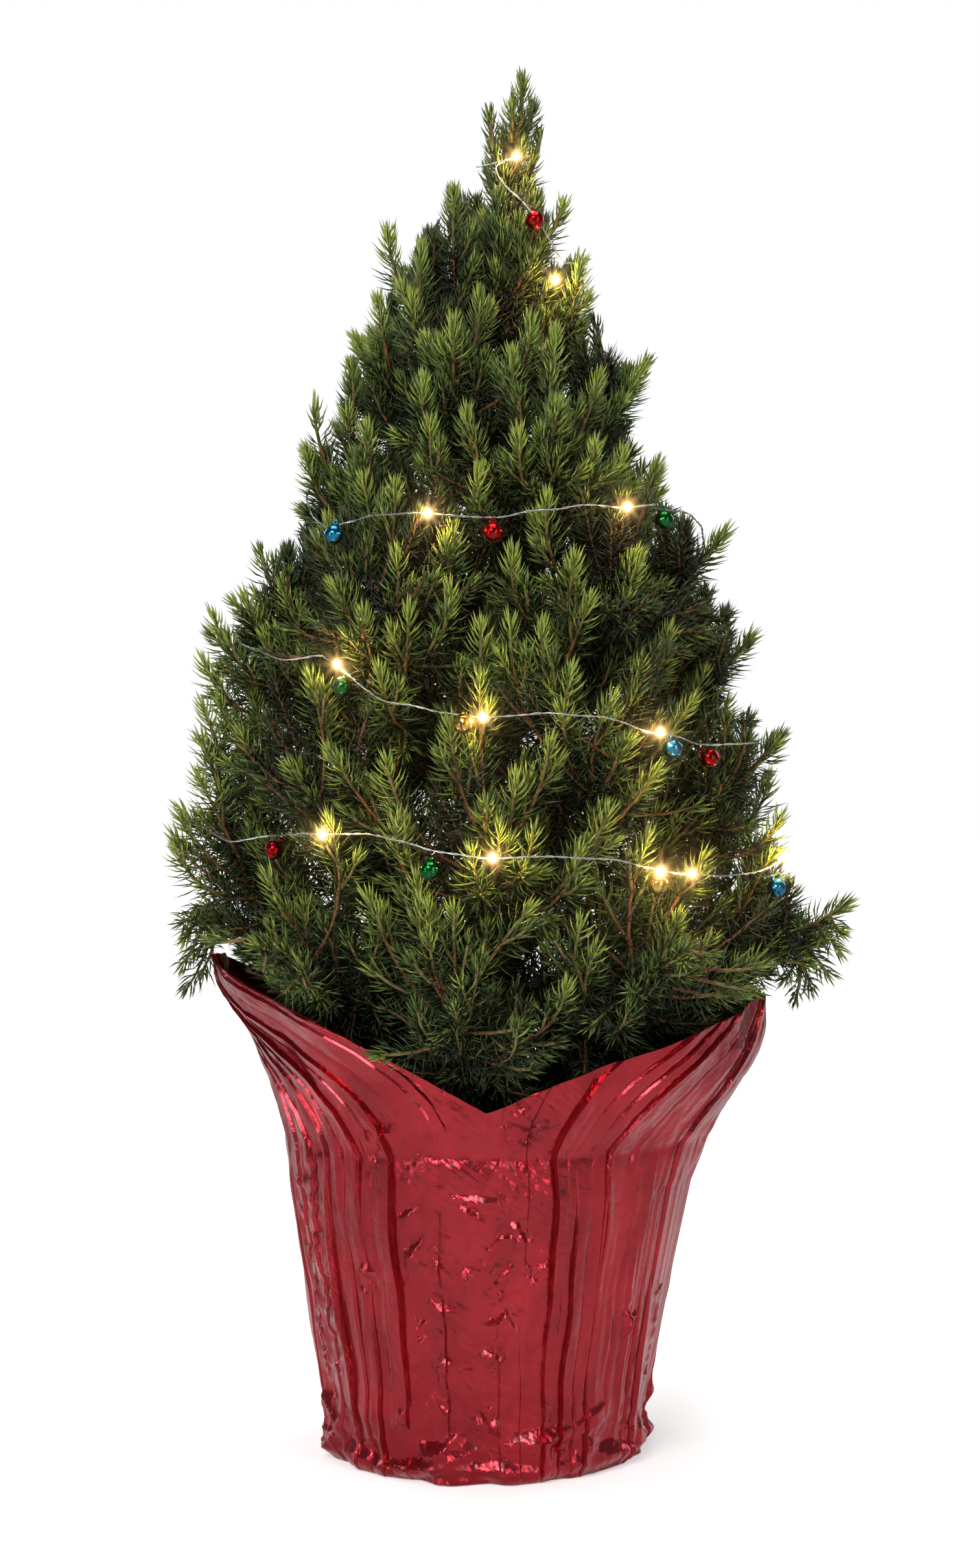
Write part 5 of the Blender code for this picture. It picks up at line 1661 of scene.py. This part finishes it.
class Cover:
    """The outside of the twigs, on which the wire, the lights and the bells lie."""

    def __init__(self, twigs):
        self.points = np.concatenate([twig.at(np.arange(0, twig.length + POINT_STEP, POINT_STEP))
                                      for twig in twigs])
        self.x, self.y = in_view(self.points).T
        self.azimuth = np.arctan2(self.points[:, 1], self.points[:, 0])
        self.radial = np.linalg.norm(self.points[:, :2], axis=1)

    def front(self, x, y):
        """How deep the nearest twigs lie where the picture shows pixel x, y."""
        away = np.hypot(self.x - x, self.y - y)
        near = away <= max(30.0, np.partition(away, 8)[8])
        return float(np.sort(self.points[near, 1])[:3].mean())

    def around(self, azimuth, z):
        """How far out the twigs reach at an azimuth and a height."""
        swing = np.abs((self.azimuth - azimuth + math.pi) % (2 * math.pi) - math.pi) * self.radial
        near = (swing < 0.011) & (np.abs(self.points[:, 2] - z) < 0.009)
        if near.sum() < 4:
            return 0.8 * crown_radius(z)
        return float(np.sort(self.radial[near])[-4:].mean())


def smooth(values, reach=3):
    """A running mean that keeps both ends."""
    padded = np.concatenate([np.repeat(values[:1], reach), values, np.repeat(values[-1:], reach)])
    return np.convolve(padded, np.ones(2 * reach + 1) / (2 * reach + 1), "valid")


def rounded(points, each):
    """A Catmull-Rom curve through points, with so many steps from each to the next."""
    points = np.asarray(points, float)
    padded = np.concatenate([[2 * points[0] - points[1]], points, [2 * points[-1] - points[-2]]])
    found = []
    for a, b, c, d in zip(padded, padded[1:], padded[2:], padded[3:]):
        for s in np.linspace(0, 1, each, endpoint=False):
            found.append(0.5 * (2 * b + (c - a) * s + (2 * a - 5 * b + 4 * c - d) * s ** 2
                                + (3 * b - 3 * c + d - a) * s ** 3))
    return np.array(found + [points[-1]])


def wire_line(cover):
    """The wire as one line: down from the top, then three rows in front that are joined behind the tree."""
    def in_front(pixels, each=4):
        pixels = rounded(pixels, each)
        found = np.array([cover.front(x, y) for x, y in pixels])
        padded = np.concatenate([found[:2], found, found[-2:]])
        nearest = np.min([padded[k:k + len(found)] for k in range(5)], axis=0)
        depth = smooth(nearest) - 0.0030
        return [from_view(x, y, d) for (x, y), d in zip(pixels, depth)]

    def behind(start, end, steps):
        a = math.atan2(start[1], start[0])
        b = math.atan2(end[1], end[0]) % (2 * math.pi)
        a -= 2 * math.pi * (a > math.pi / 2)
        shares = np.arange(1, steps) / steps
        azimuths = a + (b - a) * shares
        heights = start[2] + (end[2] - start[2]) * shares + 0.004 * np.sin(17 * shares)
        out = smooth(np.array([cover.around(t, z) for t, z in zip(azimuths, heights)])) + 0.0012
        return [np.array([r * math.cos(t), r * math.sin(t), z]) for r, t, z in zip(out, azimuths, heights)]

    rows = [in_front(row) for row in WIRE_ROWS]
    line = in_front(WIRE_TOP)
    line += behind(line[-1], rows[0][0], 44)
    line += rows[0] + behind(rows[0][-1], rows[1][0], 40)
    line += rows[1] + behind(rows[1][-1], rows[2][0], 44)
    return np.array(line + rows[2])


def evenly(points, step):
    """Points that are a step apart on a smooth curve through those given."""
    points = rounded(points, 4)
    run = run_along(points)
    return placed_along(points, run, np.linspace(0, run[-1], int(run[-1] / step)))


def on_wire(line, x, y):
    """The point of the wire in front that the picture shows nearest to a pixel."""
    pixels = in_view(line)
    away = np.hypot(pixels[:, 0] - x, pixels[:, 1] - y) + 1e4 * (line[:, 1] > IN_FRONT)
    return line[int(np.argmin(away))]


def round_the_back(line, start, depth):
    """Numbered points of the wire, evenly spaced from a start, that lie deeper than so much."""
    run = run_along(line)
    for number, place in enumerate(np.arange(start, run[-1], LIGHT_SPACING)):
        point = line[np.searchsorted(run, place)]
        if point[1] > depth:
            yield number, point


def bell_shell():
    """A jingle bell: a ball with a seam round its waist, a neck and a loop on top."""
    heap = Heap()
    profile = [(0, -BELL_R)]
    for k in range(1, BELL_PROFILE):
        turn = -math.pi / 2 + math.pi * k / BELL_PROFILE
        wide = BELL_R + 0.00022 * math.exp(-(turn / 0.12) ** 2)
        profile.append((wide * math.cos(turn), wide * math.sin(turn)))
    profile.append((0, BELL_R))
    lathe(heap, profile, 28)
    turns = np.linspace(0, 2 * math.pi, 13)
    loop = np.stack([LOOP_R * np.cos(turns), np.zeros(13), BELL_R + LOOP_R + LOOP_R * np.sin(turns)], 1)
    tube(heap, loop, np.full(13, 0.00036), 6)
    tube(heap, [(0, 0, BELL_R - 0.0006), (0, 0, BELL_R + 0.0002), (0, 0, BELL_R + 0.0005)],
         [0.0011, 0.0009, 0.0005], 10)
    return heap


def shaded_bell_slots():
    """Painted shade for the bell's openings: dark tubes along two crossed slots that end in round holes."""
    heap = Heap()
    for spin in (0, math.pi / 2):
        turns = np.linspace(-1.0, 1.0, 11)
        turn = Quaternion((0, 0, 1), spin)
        middle = np.stack([np.sin(turns), np.zeros(11), -np.cos(turns)], 1) * (BELL_R - 0.00003)
        middle = np.array([tuple(turn @ Vector(p)) for p in middle])
        tube(heap, middle, np.full(11, 0.00034), 4)
        for end in (middle[0], middle[-1]):
            tube(heap, [end * 0.93, end * 1.020], [0.0007, 0.00066], 10)
    return heap


def hang_piece(shared, kind, number, shape, metal, matrix):
    """One more piece of a kind. The first one's mesh is shared by the others."""
    name = f"{kind}_{number}"
    if kind in shared:
        made = rider(name, shared[kind])
    else:
        made = shape().piece(name, metal_material(metal))
        shared[kind] = made.data
    made.matrix_world = matrix


def make_bells(line, cover, links):
    """The bells that the picture shows, and more of them on the wire round the sides and back."""
    hung = []
    for colour, x, y in BELLS:
        near = on_wire(line, x, y - BELL_BELOW_PX)
        depth = max(min(cover.front(x, y), near[1]), near[1] - BELL_SWING) - BELL_OUT
        hung.append((colour, from_view(x, y, depth)))
    for number, point in round_the_back(line, BACK_BELLS_FROM, BEHIND):
        out = np.array([point[0], point[1], 0]) / math.hypot(point[0], point[1])
        hung.append((BACK_BELL_COLOURS[number % 4], point + 0.0035 * out - (0, 0, 0.0085)))
    shared = {}
    for number, (colour, point) in enumerate(hung, start=1):
        out = Vector((point[0], point[1], 0)).normalized()
        tilt = Quaternion(Vector((0, 0, 1)).cross(out), -rng.uniform(0.2, 0.9))
        matrix = (tilt @ Quaternion((0, 0, 1), rng.uniform(0, 3))).to_matrix().to_4x4()
        matrix.translation = Vector(point)
        hang_piece(shared, "bell_" + colour, number, bell_shell, "bell_" + colour, matrix)
        hang_piece(shared, "shaded_bell_slots", number, shaded_bell_slots, "bell_slot_shade", matrix)
        top = np.array(matrix @ Vector((0, 0, BELL_R + 2.2 * LOOP_R)))
        near = line[np.argmin(np.linalg.norm(line - top, axis=1))]
        tube(links, bent(near, (near + top) / 2 + (0.0008, 0, 0.0004), top, 6), np.full(6, 0.00026), 4)


def lamp(name, kind, place, energy, colour=(1, 1, 1), **settings):
    data = bpy.data.lights.new(name, kind)
    data.energy, data.color = energy, colour
    for setting, value in settings.items():
        setattr(data, setting, value)
    made = linked(name, data)
    made.location = place
    return made


def make_lights(twigs):
    """The two-strand wire with its bells, and lit drops on it, each with a small lamp just outside it."""
    cover = Cover(twigs)
    line = evenly(wire_line(cover), WIRE_STEP)
    steps = np.arange(len(line)) * WIRE_STEP
    line = line + np.array([[wave(s * 60, k * 9.0, 0) for k in range(3)] for s in steps]) * WIRE_WOBBLE
    _, first, second = carried_frames(line)
    heap = Heap()
    for strand in (0, 1):
        turn = steps / STRAND_TWIST * math.pi + strand * math.pi
        offset = first * np.cos(turn)[:, None] + second * np.sin(turn)[:, None]
        tube(heap, line + offset * STRAND_OFF, np.full(len(line), STRAND_R), 4)
    make_bells(line, cover, heap)
    heap.piece("light_wire", metal_material("wire_silver"))
    lit = [from_view(x, y, on_wire(line, x, y)[1] - 0.0006) for x, y in LIGHTS]
    lit += [point for _, point in round_the_back(line, BACK_LIGHTS_FROM, IN_FRONT)]
    beads = Heap()
    for number, point in enumerate(lit):
        lathe(beads, DROP, 12, point)
        out = np.array([0.0, -1.0, 0.0]) if point[1] < 0 else np.array([point[0], point[1], 0])
        lamp(f"glow_{number}", "POINT", point + out / np.linalg.norm(out) * LAMP_OUT, LAMP_POWER, LAMP_COLOUR,
             shadow_soft_size=LAMP_R)
    beads.piece("light_beads", bead_material())


# The stage

# The floor, and how bright it and the surround are to the lens and to what mirrors them
FLOOR_HALF = 14.0
FLOOR_Z = -0.0002
FLOOR_GLOW_NEAR = 0.42
FLOOR_GLOW_FAR = 0.85
FLOOR_SEEN_NEAR = 0.90
FLOOR_SEEN_FAR = 0.56
FLOOR_SEEN_AHEAD = 0.45
SURROUND = 0.26
MIRRORED = 0.125
HALO_FROM = 4.0

# Soft lights: place, where each points, size and power
SOFTBOXES = {
    "key": ((-0.55, -1.7, 1.15), (0, 0, 0.28), (0.9, 0.9), 26),
    "fill": ((1.3, -1.5, 0.7), (0, 0, 0.25), (0.5, 1.1), 4),
    "low_left": ((-1.25, -1.15, 0.30), (0, 0, 0.12), (0.16, 0.7), 2.5),
    "low_right": ((0.95, -1.45, 0.28), (0, 0, 0.12), (0.12, 0.6), 1.6),
    "overhead": ((0.0, 0.1, 2.2), (0, 0, 0.2), (1.4, 1.4), 20),
    "back_left": ((-1.5, 1.2, 1.0), (0, 0, 0.3), (0.6, 1.2), 7),
    "back_right": ((1.5, 1.2, 1.0), (0, 0, 0.3), (0.6, 1.2), 7),
}


def how_far(tree, place):
    return add_node(tree, "ShaderNodeVectorMath", {0: place}, operation="LENGTH").outputs["Value"]


def floor_material():
    """White with a faint tone. Its own glow keeps it pale, and the foil mirrors it greyer further out."""
    made = surface("floor_white", ((3.0, 2.0),), (0.3, 0.7), ((0.90, 0.90, 0.90), (0.92, 0.92, 0.92)), 0.7,
                   values={"Emission Color": (1, 1, 1, 1), SPECULAR: 0.15})
    tree = made.node_tree
    shader = tree.nodes["Principled BSDF"]
    away = how_far(tree, object_coordinates(tree))
    feed(tree, shader, {"Emission Strength": mapped(tree, away, FLOOR_GLOW_NEAR, FLOOR_GLOW_FAR, 0.15, 1.30)})
    ahead = how_far(tree, object_coordinates(tree, (1.0, FLOOR_SEEN_AHEAD, 1.0)))
    seen = mapped(tree, ahead, FLOOR_SEEN_NEAR, FLOOR_SEEN_FAR, 0.06, 0.42)
    mirrored = add_node(tree, "ShaderNodeBsdfDiffuse", {"Color": seen, "Roughness": 0.6})
    rays = add_node(tree, "ShaderNodeLightPath")
    mix = add_node(tree, "ShaderNodeMixShader", {"Fac": rays.outputs["Is Glossy Ray"],
                                                 1: shader.outputs["BSDF"], 2: mirrored.outputs["BSDF"]})
    feed(tree, tree.nodes["Material Output"], {"Surface": mix.outputs["Shader"]})
    return made


def make_stage():
    floor = bpy.data.meshes.new("floor")
    corners = ((-1, -1), (1, -1), (1, 1), (-1, 1))
    floor.from_pydata([(x * FLOOR_HALF, y * FLOOR_HALF, FLOOR_Z) for x, y in corners], [], [(0, 1, 2, 3)])
    floor.materials.append(floor_material())
    linked("floor", floor)


def make_light():
    """An even white surround, greyer to what mirrors it, and soft lights."""
    world = bpy.data.worlds.new("studio")
    bpy.context.scene.world = world
    world.use_nodes = True
    tree = world.node_tree
    tree.nodes.clear()
    rays = add_node(tree, "ShaderNodeLightPath")
    shader = None
    for strength, ray in ((SURROUND, None), (MIRRORED, "Is Glossy Ray"), (1.0, "Is Camera Ray")):
        inputs = {"Color": (1, 1, 1, 1), "Strength": strength}
        sky = add_node(tree, "ShaderNodeBackground", inputs).outputs["Background"]
        if shader:
            inputs = {"Fac": rays.outputs[ray], 1: shader, 2: sky}
            sky = add_node(tree, "ShaderNodeMixShader", inputs).outputs["Shader"]
        shader = sky
    add_node(tree, "ShaderNodeOutputWorld", {"Surface": shader})
    for name, (place, target, (wide, tall), energy) in SOFTBOXES.items():
        made = lamp(name, "AREA", place, energy, shape="RECTANGLE", size=wide, size_y=tall)
        made.rotation_mode = "QUATERNION"
        made.rotation_quaternion = (Vector(target) - Vector(place)).to_track_quat("-Z", "Y")


def make_camera():
    lens = bpy.data.cameras.new("camera")
    lens.lens = LENS
    lens.sensor_width = SENSOR
    lens.clip_start, lens.clip_end = 0.01, 60
    made = linked("camera", lens)
    made.location = EYE
    made.rotation_euler = (math.pi / 2, 0, 0)
    bpy.context.scene.camera = made
    bpy.context.scene.view_settings.view_transform = "Standard"


def make_glow():
    """The soft halo and short rays that a lens shows round the lit drops; nothing else is bright enough."""
    scene = bpy.context.scene
    scene.use_nodes = True
    tree = scene.node_tree
    tree.nodes.clear()
    picture = add_node(tree, "CompositorNodeRLayers").outputs["Image"]
    for kind, values in (("BLOOM", {"Size": 0.12, "Strength": 0.22}),
                         ("STREAKS", {"Streaks": 8, "Fade": 0.74, "Strength": 0.17})):
        inputs = {"Image": picture, "Threshold": HALO_FROM, **values}
        picture = add_node(tree, "CompositorNodeGlare", inputs, glare_type=kind).outputs["Image"]
    add_node(tree, "CompositorNodeComposite", {"Image": picture})


def main():
    make_camera()
    limbs = plan_limbs()
    room = Room(limbs)
    make_trunk()
    make_boughs(limbs)
    make_pot()
    make_soil()
    make_crumbs()
    make_sleeve()
    twigs = main_twigs(limbs, room)
    leader_twigs(twigs)
    outer_shoots(twigs, limbs)
    trunk_twigs(twigs)
    hanging_twigs(twigs, limbs)
    shade_twigs(twigs, limbs)
    twigs = kept_to_spires(twigs)
    make_twigs(twigs)
    make_needles(twigs)
    make_lights(twigs)
    make_stage()
    make_light()
    make_glow()


main()
